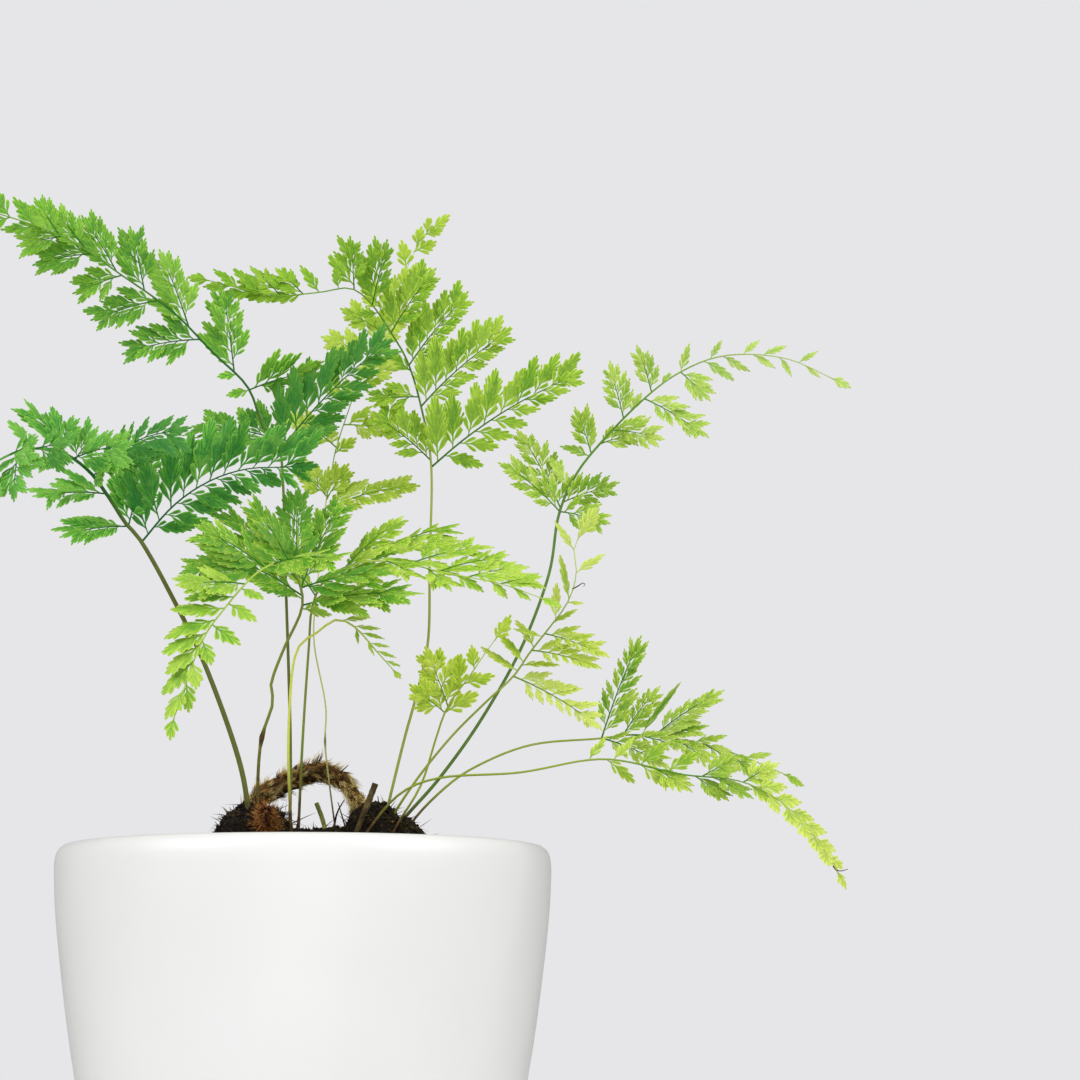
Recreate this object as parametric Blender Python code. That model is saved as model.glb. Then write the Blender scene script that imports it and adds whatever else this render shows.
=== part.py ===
"""A potted rabbit's foot fern: twelve fronds and a furry rhizome arch growing from soil in a white pot."""

from collections import namedtuple

import bpy
import numpy as np

# Driving dimensions, in millimetres
POT_HEIGHT = 125.0
POT_RADIUS = 70.0
# Air between the soil and the pot, round a stalk in its hole, and below its foot
WALL_GAP = 0.3
HOLE_GAP = 0.35
ROOM_BELOW = 0.4
# Thinnest stalk radius, sides of a stalk, and the steps between its rings in the air and in the soil
STEM_LEAST = 0.6
STEM_SIDES = 5
STEM_STEP = 20.0
FOOT_STEP = 8.0
# Half-width of the thinnest rachis, and half-thickness of a pinna's rib and of a leaflet
RACHIS_LEAST = 0.5
RIB_THICK = 0.42
LEAF_THICK = 0.32
# A pinna shorter than this is a single leaflet
SHORT_PINNA = 13.3
# The longest stretch of rachis edge with no point, and about how far apart points are put in it
LONGEST_SPAN = 18.0
SPAN = 15.0
# How far a leaflet's tip sags, and how much of its room it fills, as shares
LEAF_SAG = 0.05
LEAF_ROOM = 0.95
UP = np.array([0.0, 0.0, 1.0])

# Profile of the pot as radius and height, from the foot round the lip to the inside floor
POT_PROFILE = (
    (50, 0), (52.6, 2.6), (57, 27), (62.7, 57), (67.3, 87), (69.6, 108), (POT_RADIUS, 119),
    (69.2, 122.8), (67, POT_HEIGHT - 0.2), (65.6, POT_HEIGHT), (64.9, 123.4), (64.8, 118),
    (62.6, 87), (58, 57), (52.4, 27), (48.5, 5),
)
POT_SIDES = 32

# A frond: stalk thickness, length of the end leaflet, the way the leaf faces at its node and at its tip,
# points down the middle of the bare stipe and of the leafy rachis, and its pinnae. Each pinna is its
# place up the rachis from the node, length, turn from the rachis (right is plus), lift out of the leaf,
# roll about itself and, if it isn't the usual, how high it arches, in millimetres and degrees.
Frond = namedtuple("Frond", "name width tip face_node face_tip stipe rachis pinnae")

FRONDS = (
    Frond(
        "frond_upper_left", 1.2, 9, (0.1, -1, 0.25), (0, -1, 0.35),
        stipe=(
            (-4.5, 1, 121.5), (-4, 1, 129), (-4, 2, 155.5), (-5.5, 6, 196), (-7.5, 8, 239.5),
        ),
        rachis=(
            (-12.5, 7, 245.5), (-17, 4, 257), (-27, -2, 266), (-38.5, -9, 276.5), (-53, -17, 285.5),
            (-67, -25, 293.5), (-82, -32, 298), (-100.5, -39, 301.5),
        ),
        pinnae=(
            (0, 46, 53, 22, 0), (3, 30, -56, -36, 10), (21, 23, 107, 8, 65), (21, 7, -82, -16, 0),
            (27, 6, -54, -8, 0), (28, 25, 45, -2, 0), (42, 23, -55, -19, 0), (47, 24, 31, -11, 10),
            (59, 20, -50, -29, 0), (64, 19, 48, 3, 0), (72, 15, -53, -30, 0), (74, 19, 32, -11, 0),
            (83, 17, -40, -32, 0), (85, 16, 30, -16, 0), (93, 13, -31, -32, 0), (94, 13, 41, -8, 0),
            (101, 10, -29, -31, 0), (102, 10, 44, -5, 0), (109, 10, 43, -3, 0), (109, 9, -33, -29, 0),
            (117, 7, 47, 1, 0), (117, 6, -32, -27, 0),
        ),
    ),
    Frond(
        "frond_left", 2.0, 9, (0.3, -0.85, 0.5), (-0.1, -0.35, 1),
        stipe=(
            (-14.5, -6, 121.5), (-15, -6, 128.5), (-18, -7, 147.5), (-28, -11, 175), (-38.5, -15, 196),
            (-46, -18, 209),
        ),
        rachis=(
            (-50.5, -21, 214), (-55, -26, 220.5), (-60.5, -33, 227), (-68, -44, 230.5), (-77, -55, 229),
            (-85.5, -64, 223), (-92, -70, 216),
        ),
        pinnae=(
            (0, 55, 106, 46, 35, 1.5), (6, 26, 66, 19, 0), (6, 20, -45, -32, 10), (18, 21, -38, -44, 10),
            (24, 32, -57, 88, 20, 1.3), (25, 21, -45, 47, 40), (34, 12, 124, 67, 0),
            (35, 16, -3, -40, 20), (35, 21, -86, 44, 60), (38, 20, 65, 15, 20), (41, 12, 119, 57, 0),
            (51, 13, -94, 22, 60), (51, 11, 66, 28, 0), (58, 18, -39, -29, 20), (61, 12, -93, 26, 60),
            (65, 11, 80, 40, 0), (71, 15, -39, -21, 0), (74, 8, 51, 50, 0),
        ),
    ),
    Frond(
        "frond_front", 1.2, 5, (0, -0.55, 1), (-0.25, -1, 0.25),
        stipe=(
            (-13, -2, 121.5), (-13, -2, 129), (-13, -3, 145), (-12, -4, 155.5), (-9, -6, 165),
            (-9.5, -7, 170.5), (-6, -10, 180), (-1, -14, 191),
        ),
        rachis=(
            (-2, -21, 198), (-5.5, -34, 201.5), (-13, -48, 197), (-21.5, -59, 186), (-28, -66, 175),
            (-35, -73, 153.5),
        ),
        pinnae=(
            (0, 10, -113, -59, 20), (1, 35, -21, -67, 15), (3, 11, 59, -9, 0), (4, 36, 40, -32, -25),
            (7, 28, -80, 19, 15), (7, 34, 51, 83, 0), (10, 31, 70, 26, 0), (14, 28, 89, 77, 0),
            (20, 22, 52, 42, 0), (32, 32, -63, 17, 0), (37, 24, 50, 30, -20), (41, 21, 60, 1, -10),
            (48, 22, 32, 19, -10), (50, 8, -72, -2, -20), (54, 14, 47, 8, 20), (57, 10, -74, -7, -20),
            (59, 15, 45, 5, 20), (64, 15, 34, -1, 20), (66, 10, -70, -14, -20), (69, 14, 34, -2, 20),
            (72, 8, -40, -9, -20), (73, 13, 21, -5, 20), (78, 13, 24, -11, 20), (79, 8, -26, -3, -20),
            (85, 8, -21, -14, -20), (87, 10, 10, 6, 20),
        ),
    ),
    Frond(
        "frond_centre_right", 1.0, 6, (0, -0.5, 0.85), (0.1, -0.6, 0.8),
        stipe=(
            (-1.5, 3, 122), (-1.5, 3, 129), (-0.5, 3, 155.5), (1, 2, 181), (2, 1, 193.5),
        ),
        rachis=(
            (6, -2, 201), (15.5, -8, 205), (27, -16, 204), (38, -23, 200.5), (54, -30, 196.5),
            (66, -36, 191.5),
        ),
        pinnae=(
            (3, 21, -49, 39, 0), (6, 19, 64, -39, 0), (7, 45, -27, -36, -10), (16, 23, -45, 8, 0),
            (16, 13, 33, -41, 0), (25, 28, -50, -4, 0), (30, 18, 29, -5, 0), (38, 25, -51, 3, 0),
            (44, 13, 25, -8, 0), (48, 21, -45, 5, 0), (53, 10, 9, -19, 0), (57, 18, -36, 3, 0),
            (64, 7, 18, -27, 0), (67, 12, -34, 8, 0), (71, 6, -8, -28, 0),
        ),
    ),
    Frond(
        "frond_back_pale", 1.0, 5, (0.1, -1, 0.2), (0, -1, 0.3),
        stipe=(
            (9.5, 4, 122), (9, 4, 129.5), (6, 7, 153), (6, 11, 166), (2.5, 18, 185.5), (3.5, 28, 203),
            (5.5, 38, 226),
        ),
        rachis=(
            (7.5, 43, 239), (9, 46, 247), (13, 50, 260), (18, 54, 276), (24, 57, 291), (29.5, 58, 302.5),
            (32.5, 58, 309.5), (35.5, 57, 314), (39, 56, 316.5),
        ),
        pinnae=(
            (1, 29, 75, 21, -30), (4, 13, 24, 21, 0), (5, 15, -50, -5, 0), (20, 8, 46, 16, 0),
            (22, 20, -64, -11, 10), (30, 17, 84, 9, 0), (38, 13, -67, 6, 0), (43, 16, 43, 9, 0),
            (54, 15, -89, 3, 0), (58, 19, 22, -12, 0), (63, 13, -85, 5, 0), (68, 13, -54, 9, 0),
            (72, 17, 26, 5, 0), (84, 9, -29, 18, 0), (90, 9, 40, -27, 0), (92, 6, -19, 17, 0),
            (96, 7, 29, -41, 0), (97, 5, -27, 20, 0),
        ),
    ),
    Frond(
        "frond_small_droop", 1.0, 2, (0.2, -0.7, 0.9), (0.3, -1, 0.4),
        stipe=(
            (-3.5, -9, 121), (-3.5, -9, 128.5), (-4.5, -10, 150), (-4, -12, 168), (-3, -12, 177),
            (-1, -12, 181.5), (3.5, -13, 184.5), (7.5, -14, 187.5),
        ),
        rachis=(
            (11, -15, 187.5), (15, -17, 184.5), (20, -19, 178.5), (25.5, -22, 172),
        ),
        pinnae=(
            (3, 9, -36, -8, 40), (7, 8, -39, -2, 40), (8, 6, 37, -7, 0), (10, 7, -37, 0, 25),
            (13, 6, 27, 5, 0), (14, 6, -40, -1, 25), (17, 6, -31, 0, 25), (21, 5, -32, -3, 25),
        ),
    ),
    Frond(
        "frond_tall", 1.1, 5, (0, -1, 0.15), (0, -1, 0.3),
        stipe=(
            (21, 6, 122), (23.5, 6, 135), (28.5, 9, 156), (32, 12, 169), (35.5, 16, 185.5),
            (36, 21, 209.5), (36.5, 25, 237.5),
        ),
        rachis=(
            (33.5, 28, 256), (29.5, 29, 269.5), (24.5, 28, 278), (19, 25, 285.5), (12.5, 20, 289.5),
            (2.5, 17, 287.5), (-11, 13, 286), (-30, 9, 289.5),
        ),
        pinnae=(
            (0, 53, 62, 10, 0), (2, 25, -45, -6, 0), (19, 36, 62, 7, 0), (22, 16, -81, -12, 20),
            (30, 10, -33, -17, 0), (32, 29, 60, 0, 0), (43, 24, 68, 2, 0), (50, 7, -64, -34, 0),
            (53, 20, 59, 2, 0), (61, 16, 70, 11, 0), (66, 7, 93, 14, 0), (72, 10, 66, 6, 18),
            (77, 12, 58, -8, 22), (77, 11, -1, -18, 0), (84, 13, 51, -8, 23), (84, 11, -6, -18, 0),
            (90, 11, 33, -2, 23), (92, 10, -15, -16, 0), (96, 10, 21, -5, 23), (99, 8, -20, -16, 0),
        ),
    ),
    Frond(
        "frond_low_right_front", 1.0, 4, (0.1, -0.75, 0.7), (0.5, -0.8, 0.5),
        stipe=(
            (13.5, -15, 121), (17.5, -15, 128), (26.5, -18, 138.5), (38, -21, 143), (59.5, -28, 144),
            (77.5, -34, 147),
        ),
        rachis=(
            (88, -38, 146.5), (103, -44, 142.5), (117.5, -50, 140.5), (127.5, -55, 135.5),
            (137, -59, 126), (144, -63, 114),
        ),
        pinnae=(
            (1, 9, -57, 14, 0), (6, 11, 9, -48, 40), (8, 9, -56, 10, 0), (16, 11, -59, 15, 0),
            (16, 11, -9, -43, 40), (20, 13, 12, -15, 0), (24, 11, -44, 15, 0), (32, 12, 25, -22, 0),
            (34, 12, -36, 7, 0), (37, 14, 24, -9, 0), (46, 12, -55, 12, 0), (48, 8, 8, -20, 0),
            (50, 9, -38, -4, 0), (54, 7, 27, -14, 0), (56, 8, -33, -6, 0), (60, 8, 29, -4, 0),
            (62, 7, -30, -5, 0), (65, 8, 28, -1, 0), (67, 7, -28, -8, 0), (71, 7, 27, 2, 0),
            (73, 6, -32, -7, 0), (76, 7, 28, 7, 0), (79, 5, -41, -3, 0),
        ),
    ),
    Frond(
        "frond_right_mid", 1.0, 10, (0.2, -0.6, 0.9), (0.4, -0.9, 0.2),
        stipe=(
            (19.5, -5, 121.5), (22.5, -5, 129), (31, -8, 142.5), (41, -11, 155), (50.5, -14, 164.5),
            (58.5, -16, 172),
        ),
        rachis=(
            (63, -18, 178.5), (68.5, -20, 185.5), (73.5, -21, 192.5), (76, -20, 200.5), (75.5, -18, 208),
            (78, -16, 213),
        ),
        pinnae=(
            (0, 30, 76, -36, 30), (2, 14, -104, 25, 0), (4, 11, 50, -49, 0), (5, 13, -78, 7, 0),
            (9, 21, 66, -15, 20), (10, 12, -73, -16, 0), (14, 9, -118, 8, 0), (15, 20, 72, -7, 30),
            (19, 8, 30, 6, 0), (20, 11, -38, -11, 0), (26, 5, 77, 24, 0), (27, 13, -38, 8, 15),
            (35, 10, 56, 24, 0), (42, 10, -44, -4, 0), (45, 8, -4, 21, 0),
        ),
    ),
    Frond(
        "frond_small", 1.0, 7, (0, -1, 0.2), (0, -1, 0.4),
        stipe=(
            (22.5, -12, 121), (25, -12, 128.5), (32.5, -14, 141), (36.5, -19, 153.5), (39, -23, 161),
        ),
        rachis=(
            (42, -25, 166), (45.5, -27, 170.5), (49.5, -28, 176.5), (53.5, -28, 182),
        ),
        pinnae=(
            (0, 13, -76, 14, 0), (0, 11, 37, -1, 0), (2, 18, -53, -7, 0), (8, 11, -54, -29, 0),
            (10, 9, 41, -8, 0), (15, 7, -41, 1, 0),
        ),
    ),
    Frond(
        "frond_right_arch", 1.3, 5, (0.1, -1, 0.3), (0, -1, 0.5),
        stipe=(
            (23.5, 10, 122.5), (27, 10, 131.5), (38.5, 12, 145), (50.5, 16, 162), (62.5, 21, 183.5),
            (71, 26, 206), (74, 30, 223.5),
        ),
        rachis=(
            (78.5, 32, 235), (85.5, 35, 245), (99, 38, 259.5), (111, 40, 269), (125, 41, 274.5),
            (142.5, 39, 273.5), (157.5, 36, 266.5),
        ),
        pinnae=(
            (2, 25, -75, 28, 0), (2, 19, 105, 37, 20), (3, 30, -42, -11, 0), (5, 18, 55, 11, 35),
            (10, 11, -56, -3, 0), (22, 9, -107, 4, 0), (23, 15, -59, 21, 0), (27, 14, 30, -14, 0),
            (33, 16, 63, 6, 20), (38, 18, -59, 20, 0), (41, 8, -16, -11, 0), (47, 23, 79, -1, 0),
            (50, 15, -66, 24, 0), (54, 5, -11, 11, 0), (61, 9, -36, 28, 0), (61, 13, 80, -3, 0),
            (69, 11, 58, -4, 0), (71, 7, -33, 14, 0), (75, 10, 36, -32, 0), (81, 7, -37, 10, 0),
            (84, 8, 29, -18, 0), (87, 8, -24, 3, 0), (92, 7, 40, -23, 0), (98, 7, -51, 13, 0),
            (100, 6, 11, -16, 0),
        ),
    ),
    Frond(
        "frond_low_right_back", 1.0, 6, (0.1, -0.9, 0.6), (0.2, -0.8, 0.7),
        stipe=(
            (26.5, 0, 122), (30, 0, 131), (38.5, 2, 140.5), (48.5, 6, 148), (65, 12, 155),
            (85, 19, 157.5),
        ),
        rachis=(
            (95, 23, 159), (106, 27, 158.5), (117, 31, 157), (129.5, 35, 153.5), (142.5, 39, 148.5),
        ),
        pinnae=(
            (1, 33, -54, 34, 0), (1, 25, 62, 21, 20), (8, 20, -37, 23, 0), (11, 19, 49, 24, 0),
            (14, 20, -25, 68, 60), (18, 25, -22, 36, 0), (21, 14, -1, 30, 0), (24, 16, 48, 9, 0),
            (31, 10, 1, 24, 0), (34, 14, 38, 8, 0), (43, 12, 36, -10, 0), (48, 8, -4, 25, 0),
        ),
    ),
)

LEAF_COLOURS = {
    "frond_upper_left": (0.10, 0.34, 0.03),
    "frond_left": (0.03, 0.24, 0.03),
    "frond_front": (0.13, 0.36, 0.02),
    "frond_centre_right": (0.24, 0.47, 0.03),
    "frond_back_pale": (0.35, 0.55, 0.04),
    "frond_small_droop": (0.22, 0.42, 0.03),
    "frond_tall": (0.22, 0.46, 0.02),
    "frond_low_right_front": (0.30, 0.50, 0.03),
    "frond_right_mid": (0.38, 0.56, 0.04),
    "frond_small": (0.29, 0.50, 0.02),
    "frond_right_arch": (0.26, 0.50, 0.04),
    "frond_low_right_back": (0.25, 0.48, 0.03),
}

# Outlines of a leaflet: x along it as a share of its length, y across it as a share of its width.
# The numbers in a face are 0 for the near root, then the outline, then the far root.
Outline = namedtuple("Outline", "points faces width")
KITE = Outline(
    ((0.52, -0.50), (1.0, -0.06), (0.60, 0.44)),
    ((1, 2, 3), (0, 1, 3), (0, 3, 4)),
    0.52,
)
FORKED = Outline(
    ((0.50, -0.50), (0.86, -0.40), (0.74, -0.04), (1.0, 0.14), (0.56, 0.48)),
    ((0, 1, 3), (1, 2, 3), (0, 3, 6), (6, 3, 5), (5, 3, 4)),
    0.50,
)
LOBED = Outline(
    ((0.50, -0.52), (0.54, -0.20), (0.84, -0.40), (1.0, 0.02), (0.76, 0.46), (0.50, 0.20), (0.40, 0.52)),
    ((0, 1, 2), (2, 3, 4), (2, 4, 6), (4, 5, 6), (0, 2, 6), (0, 6, 8), (6, 7, 8)),
    0.42,
)
# Lengths in millimetres from which a leaflet is forked, and from which it is lobed
LEAFLET_SIZES = (11.0, 17.0)
BLADE_SIZES = (9.0, 14.0)


def unit(v):
    return v / np.linalg.norm(v)


def smooth(points, per_span):
    """Points along a smooth curve through the given ones."""
    p = np.asarray(points, float)
    p = np.vstack([2 * p[0] - p[1], p, 2 * p[-1] - p[-2]])
    t = np.linspace(0, 1, per_span, endpoint=False)[:, None]
    rows = []
    for a, b, c, d in zip(p, p[1:], p[2:], p[3:]):
        quadratic = (2 * a - 5 * b + 4 * c - d) * t**2
        cubic = (3 * b - a - 3 * c + d) * t**3
        rows.append(0.5 * (2 * b + (c - a) * t + quadratic + cubic))
    return np.vstack(rows + [p[-2:-1]])


class Axis:
    """A stalk's centre line, asked for by the length along it."""

    def __init__(self, points, per_span=10):
        self.points = smooth(points, per_span)
        steps = np.linalg.norm(np.diff(self.points, axis=0), axis=1)
        self.run = np.append(0, np.cumsum(steps))
        self.length = self.run[-1]
        self.knots = self.run[::per_span]

    def at(self, s):
        """The point at this length; below zero it carries straight on past the foot."""
        point = np.array([np.interp(s, self.run, self.points[:, k]) for k in range(3)])
        return point + min(s, 0.0) * unit(self.points[1] - self.points[0])

    def tangent(self, s):
        return unit(self.at(min(s + 1, self.length)) - self.at(max(s - 1, 0)))


class Branch:
    """A pinna's midrib: a chord of the given length, bowed upwards by its own share or by the usual one."""

    def __init__(self, origin, chord, facing, length, arch):
        self.origin, self.chord, self.facing, self.length = origin, chord, facing, length
        self.bow = -(arch or 0.25 + 0.004 * length) * (UP - chord * (UP @ chord))

    def at(self, t):
        return self.origin + self.length * (t * self.chord - self.bow * t * (1 - t) / 2)

    def frame(self, t):
        """Direction, facing and right-hand side at a share t of the length."""
        along = unit(self.chord - self.bow * (1 - 2 * t) / 2)
        facing = unit(self.facing - along * (self.facing @ along))
        return along, facing, np.cross(along, facing)

    def rib_half(self, t):
        return (0.30 + 0.005 * self.length) * (1 - 0.35 * t)


class Sheet:
    """Points, each with half the blade's thickness there as a vector, and the triangles between them."""

    def __init__(self):
        self.points, self.half, self.faces = [], [], []

    def add(self, point, facing, half):
        self.points.append(point)
        self.half.append(facing * half)
        return len(self.points) - 1

    def solid(self):
        """Both faces of the blade, split alike, and the rim between them."""
        p, h = np.array(self.points), np.array(self.half)
        n = len(p)
        front = [tuple(face) for face in self.faces]
        edges = {(f[i], f[(i + 1) % 3]) for f in front for i in range(3)}
        faces = front + [(a + n, c + n, b + n) for a, b, c in front]
        for a, b in sorted(edges):
            if (b, a) not in edges:
                faces += [(b, a, a + n), (b, a + n, b + n)]
        return np.vstack([p + h, p - h]), faces


def facing_at(frond, share):
    node, tip = (unit(np.array(f, float)) for f in (frond.face_node, frond.face_tip))
    return node * (1 - share) + tip * share


def rachis_frame(frond, axis, s, share):
    along = axis.tangent(s)
    facing = facing_at(frond, share)
    facing = unit(facing - along * (facing @ along))
    return along, facing, np.cross(along, facing)


def branch_of(frond, axis, node, place, pinna):
    """The midrib of a pinna that leaves the rachis at this place."""
    length, turn, lift, roll = pinna[1], *np.radians(pinna[2:5])
    share = place / (axis.length - node)
    along, facing, side = rachis_frame(frond, axis, node + place, share)
    flat = np.cos(turn) * along + np.sin(turn) * side
    chord = np.cos(lift) * flat + np.sin(lift) * facing
    own = facing_at(frond, share)
    own = unit(own - chord * (own @ chord))
    own = np.cos(roll) * own + np.sin(roll) * np.cross(chord, own)
    return Branch(axis.at(node + place), chord, own, length, pinna[5] if len(pinna) > 5 else 0)


Leaflet = namedtuple("Leaflet", "side start end length angle lift twist")


def leaflet_plan(length, rng):
    """The leaflets on both sides of a pinna, base to tip; the two sides take turns."""
    count = max(2, int(round(0.6 + length / 12)))
    first = 0.10 if length > 12 else 0.16
    plan = []
    for side, shift in ((1, 0.0), (-1, 0.45)):
        for i in range(count):
            ends = (np.array([i, i + 1]) + shift) / (count + 0.9)
            start, end = first + (1 - first) * (1 - (1 - ends) ** 1.12)
            middle = (start + end) / 2
            size = length * (0.25 * (1 - middle) ** 0.65 + 0.04) + 0.6
            draws = rng.standard_normal(4)
            plan.append(Leaflet(
                side, start, end, size * (1 + 0.06 * draws[1]),
                58 - 28 * middle + 4 * draws[0], 7 * draws[2], 9 * draws[3],
            ))
    return plan


def outline_for(length, sizes):
    return KITE if length < sizes[0] else FORKED if length < sizes[1] else LOBED


def put_leaflet(sheet, origin, axes, length, ends, sizes=LEAFLET_SIZES, most=None, turned=False):
    """A leaflet between two points that the sheet already has; its axes run along, across and out of it."""
    along, across, facing = axes
    outline = outline_for(length, sizes)
    width = min(length * outline.width, most or length)
    ids = [ends[0]]
    for x, y in outline.points:
        sag = LEAF_SAG * length * x * x
        point = origin + along * (x * length) + across * (y * width) - facing * sag
        ids.append(sheet.add(point, facing, LEAF_THICK))
    ids.append(ends[1])
    for face in outline.faces:
        corners = [ids[k] for k in face]
        sheet.faces.append(corners[::-1] if turned else corners)


def put_side_leaflet(sheet, branch, leaflet, ends):
    """A leaflet on the edge of a midrib, turned, lifted and twisted as planned."""
    root = (leaflet.start + leaflet.end) / 2
    rib, facing, right = branch.frame(root)
    outward = leaflet.side * right
    angle, lift, twist = np.radians((leaflet.angle, leaflet.lift, leaflet.twist))
    along = np.cos(angle) * rib + np.sin(angle) * outward
    across = np.cross(facing, along) * leaflet.side
    along = np.cos(lift) * along + np.sin(lift) * facing
    across = np.cos(twist) * across + np.sin(twist) * facing
    room = LEAF_ROOM * (leaflet.end - leaflet.start) * branch.length * np.sin(angle)
    origin = branch.at(root) + branch.rib_half(root) * outward
    axes = (along, across, facing)
    put_leaflet(sheet, origin, axes, leaflet.length, ends, most=room, turned=leaflet.side < 0)


def zip_edges(sheet, right, left):
    """Triangles between the two edges of a rib, each given as places and point numbers."""
    (right_at, right_ids), (left_at, left_ids) = right, left
    i = j = 0
    while i < len(right_ids) - 1 or j < len(left_ids) - 1:
        left_done = j == len(left_ids) - 1
        right_next = i < len(right_ids) - 1 and (left_done or right_at[i + 1] <= left_at[j + 1])
        third = right_ids[i + 1] if right_next else left_ids[j + 1]
        if left_ids[j] != right_ids[i]:
            sheet.faces.append([left_ids[j], right_ids[i], third])
        i, j = (i + 1, j) if right_next else (i, j + 1)


def put_pinna(sheet, branch, ends, side, rng):
    """A pinna's midrib with its leaflets and the one at its tip."""
    plan = leaflet_plan(branch.length, rng)
    edges = {}
    for own in (1, -1):
        mine = [leaflet for leaflet in plan if leaflet.side == own]
        places = [mine[0].start] + [leaflet.end for leaflet in mine]
        ids = [ends[0] if own == side else ends[1]]
        for t in places:
            _, facing, right = branch.frame(t)
            point = branch.at(t) + own * right * branch.rib_half(t)
            ids.append(sheet.add(point, facing, RIB_THICK * (1 - 0.2 * t)))
        for i, leaflet in enumerate(mine):
            put_side_leaflet(sheet, branch, leaflet, (ids[i + 1], ids[i + 2]))
        edges[own] = ([0.0] + places, ids)
    zip_edges(sheet, edges[1], edges[-1])
    last = (edges[1][1][-1], edges[-1][1][-1])
    along, facing, right = branch.frame(1.0)
    middle = (sheet.points[last[0]] + sheet.points[last[1]]) / 2
    put_leaflet(sheet, middle, (along, -right, facing), 1.2 + 0.08 * branch.length, last)


def put_blade(sheet, branch, ends, side):
    """A short pinna, which is one leaflet."""
    along, facing, right = branch.frame(0.0)
    middle = (sheet.points[ends[0]] + sheet.points[ends[1]]) / 2
    ends = ends if side == 1 else ends[::-1]
    put_leaflet(sheet, middle, (along, -right, facing), branch.length, ends, sizes=BLADE_SIZES)


class RachisEdge:
    """One edge of the flat rachis, filled with points from node to tip."""

    def __init__(self, sheet, frond, axis, node, side):
        self.sheet, self.frond, self.axis, self.node, self.side = sheet, frond, axis, node, side
        self.places, self.ids = [], []
        self.put(node - 2.0)

    def put(self, s):
        share = max(0.0, (s - self.node) / (self.axis.length - self.node))
        _, facing, right = rachis_frame(self.frond, self.axis, s, share)
        half = max(RACHIS_LEAST, self.frond.width / 2) * (1 - 0.45 * share)
        point = self.axis.at(s) + self.side * right * half
        self.places.append(s)
        self.ids.append(self.sheet.add(point, facing, 0.9 * half))
        return self.ids[-1]

    def walk_to(self, s):
        """Extra points where the next one is far off."""
        while s - self.places[-1] > LONGEST_SPAN:
            gap = s - self.places[-1]
            self.put(self.places[-1] + gap / np.ceil(gap / SPAN))


def leafy_sheet(frond, axis, node):
    """The leafy part of a frond as one sheet: the rachis with a pinna from its edge at each place."""
    sheet = Sheet()
    rng = np.random.default_rng(len(frond.pinnae))
    edges, grown = {}, []
    for side in (1, -1):
        edge = RachisEdge(sheet, frond, axis, node, side)
        for pinna in frond.pinnae:
            if (pinna[2] > 0) != (side > 0):
                continue
            half = 0.35 + 0.004 * pinna[1]
            middle = max(node + pinna[0], edge.places[-1] + half + 0.15)
            edge.walk_to(middle - half)
            ends = (edge.put(middle - half), edge.put(middle + half))
            grown.append((branch_of(frond, axis, node, middle - node, pinna), ends, side))
        edge.walk_to(axis.length)
        edge.put(axis.length)
        edges[side] = edge
    zip_edges(sheet, (edges[1].places, edges[1].ids), (edges[-1].places, edges[-1].ids))
    for branch, ends, side in grown:
        if branch.length < SHORT_PINNA:
            put_blade(sheet, branch, ends, side)
        else:
            put_pinna(sheet, branch, ends, side, rng)
    along, facing, right = rachis_frame(frond, axis, axis.length, 1.0)
    last = (edges[1].ids[-1], edges[-1].ids[-1])
    put_leaflet(sheet, axis.at(axis.length), (along, -right, facing), frond.tip, last)
    return sheet


def tube(axis, places, radius_at, sides, rough=0.0, rng=None):
    """A closed round stalk with a ring at each place; rough pushes its points in and out by this share."""
    points, faces = [], []
    rings = len(places)
    across = unit(np.cross(axis.tangent(places[0]), [0.3, 0.9, 0.2]))
    for i, s in enumerate(places):
        share = s / axis.length
        along = axis.tangent(s)
        across = unit(across - along * (across @ along))
        other = np.cross(along, across)
        for k in range(sides):
            q = 2 * np.pi * (k + 0.5 * (i % 2) * (rough > 0)) / sides
            radius = radius_at(share) * (1 + rough * (rng.uniform(-1, 1) if rough else 0))
            points.append(axis.at(s) + radius * (np.cos(q) * across + np.sin(q) * other))
    for i in range(rings - 1):
        for k in range(sides):
            a, b = i * sides + k, i * sides + (k + 1) % sides
            faces += [(a, b, b + sides), (a, b + sides, a + sides)]
    last = (rings - 1) * sides
    faces += [(0, k + 1, k) for k in range(1, sides - 1)]
    faces += [(last, last + k, last + k + 1) for k in range(1, sides - 1)]
    return np.array(points), faces


def material(name, colour, roughness, metallic=0.0):
    made = bpy.data.materials.new(name)
    made.use_nodes = True
    shader = made.node_tree.nodes["Principled BSDF"]
    shader.inputs["Base Color"].default_value = (*colour, 1.0)
    shader.inputs["Roughness"].default_value = roughness
    shader.inputs["Metallic"].default_value = metallic
    return made


def mesh_object(name, points, faces):
    """An object whose mesh is in millimetres, for use in a Boolean or to be finished."""
    mesh = bpy.data.meshes.new(name)
    mesh.from_pydata([tuple(map(float, p)) for p in points], [], [tuple(map(int, f)) for f in faces])
    mesh.update()
    obj = bpy.data.objects.new(name, mesh)
    bpy.context.scene.collection.objects.link(obj)
    return obj


def join(obj, other, operation):
    """Applies one Boolean with another object and removes that object."""
    modifier = obj.modifiers.new("join", "BOOLEAN")
    modifier.operation = operation
    modifier.solver = "MANIFOLD"
    modifier.object = other
    bpy.context.view_layer.update()
    result = bpy.data.meshes.new_from_object(obj.evaluated_get(bpy.context.evaluated_depsgraph_get()))
    obj.modifiers.clear()
    spent, obj.data = obj.data, result
    bpy.data.meshes.remove(spent)
    bpy.data.objects.remove(other)


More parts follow.
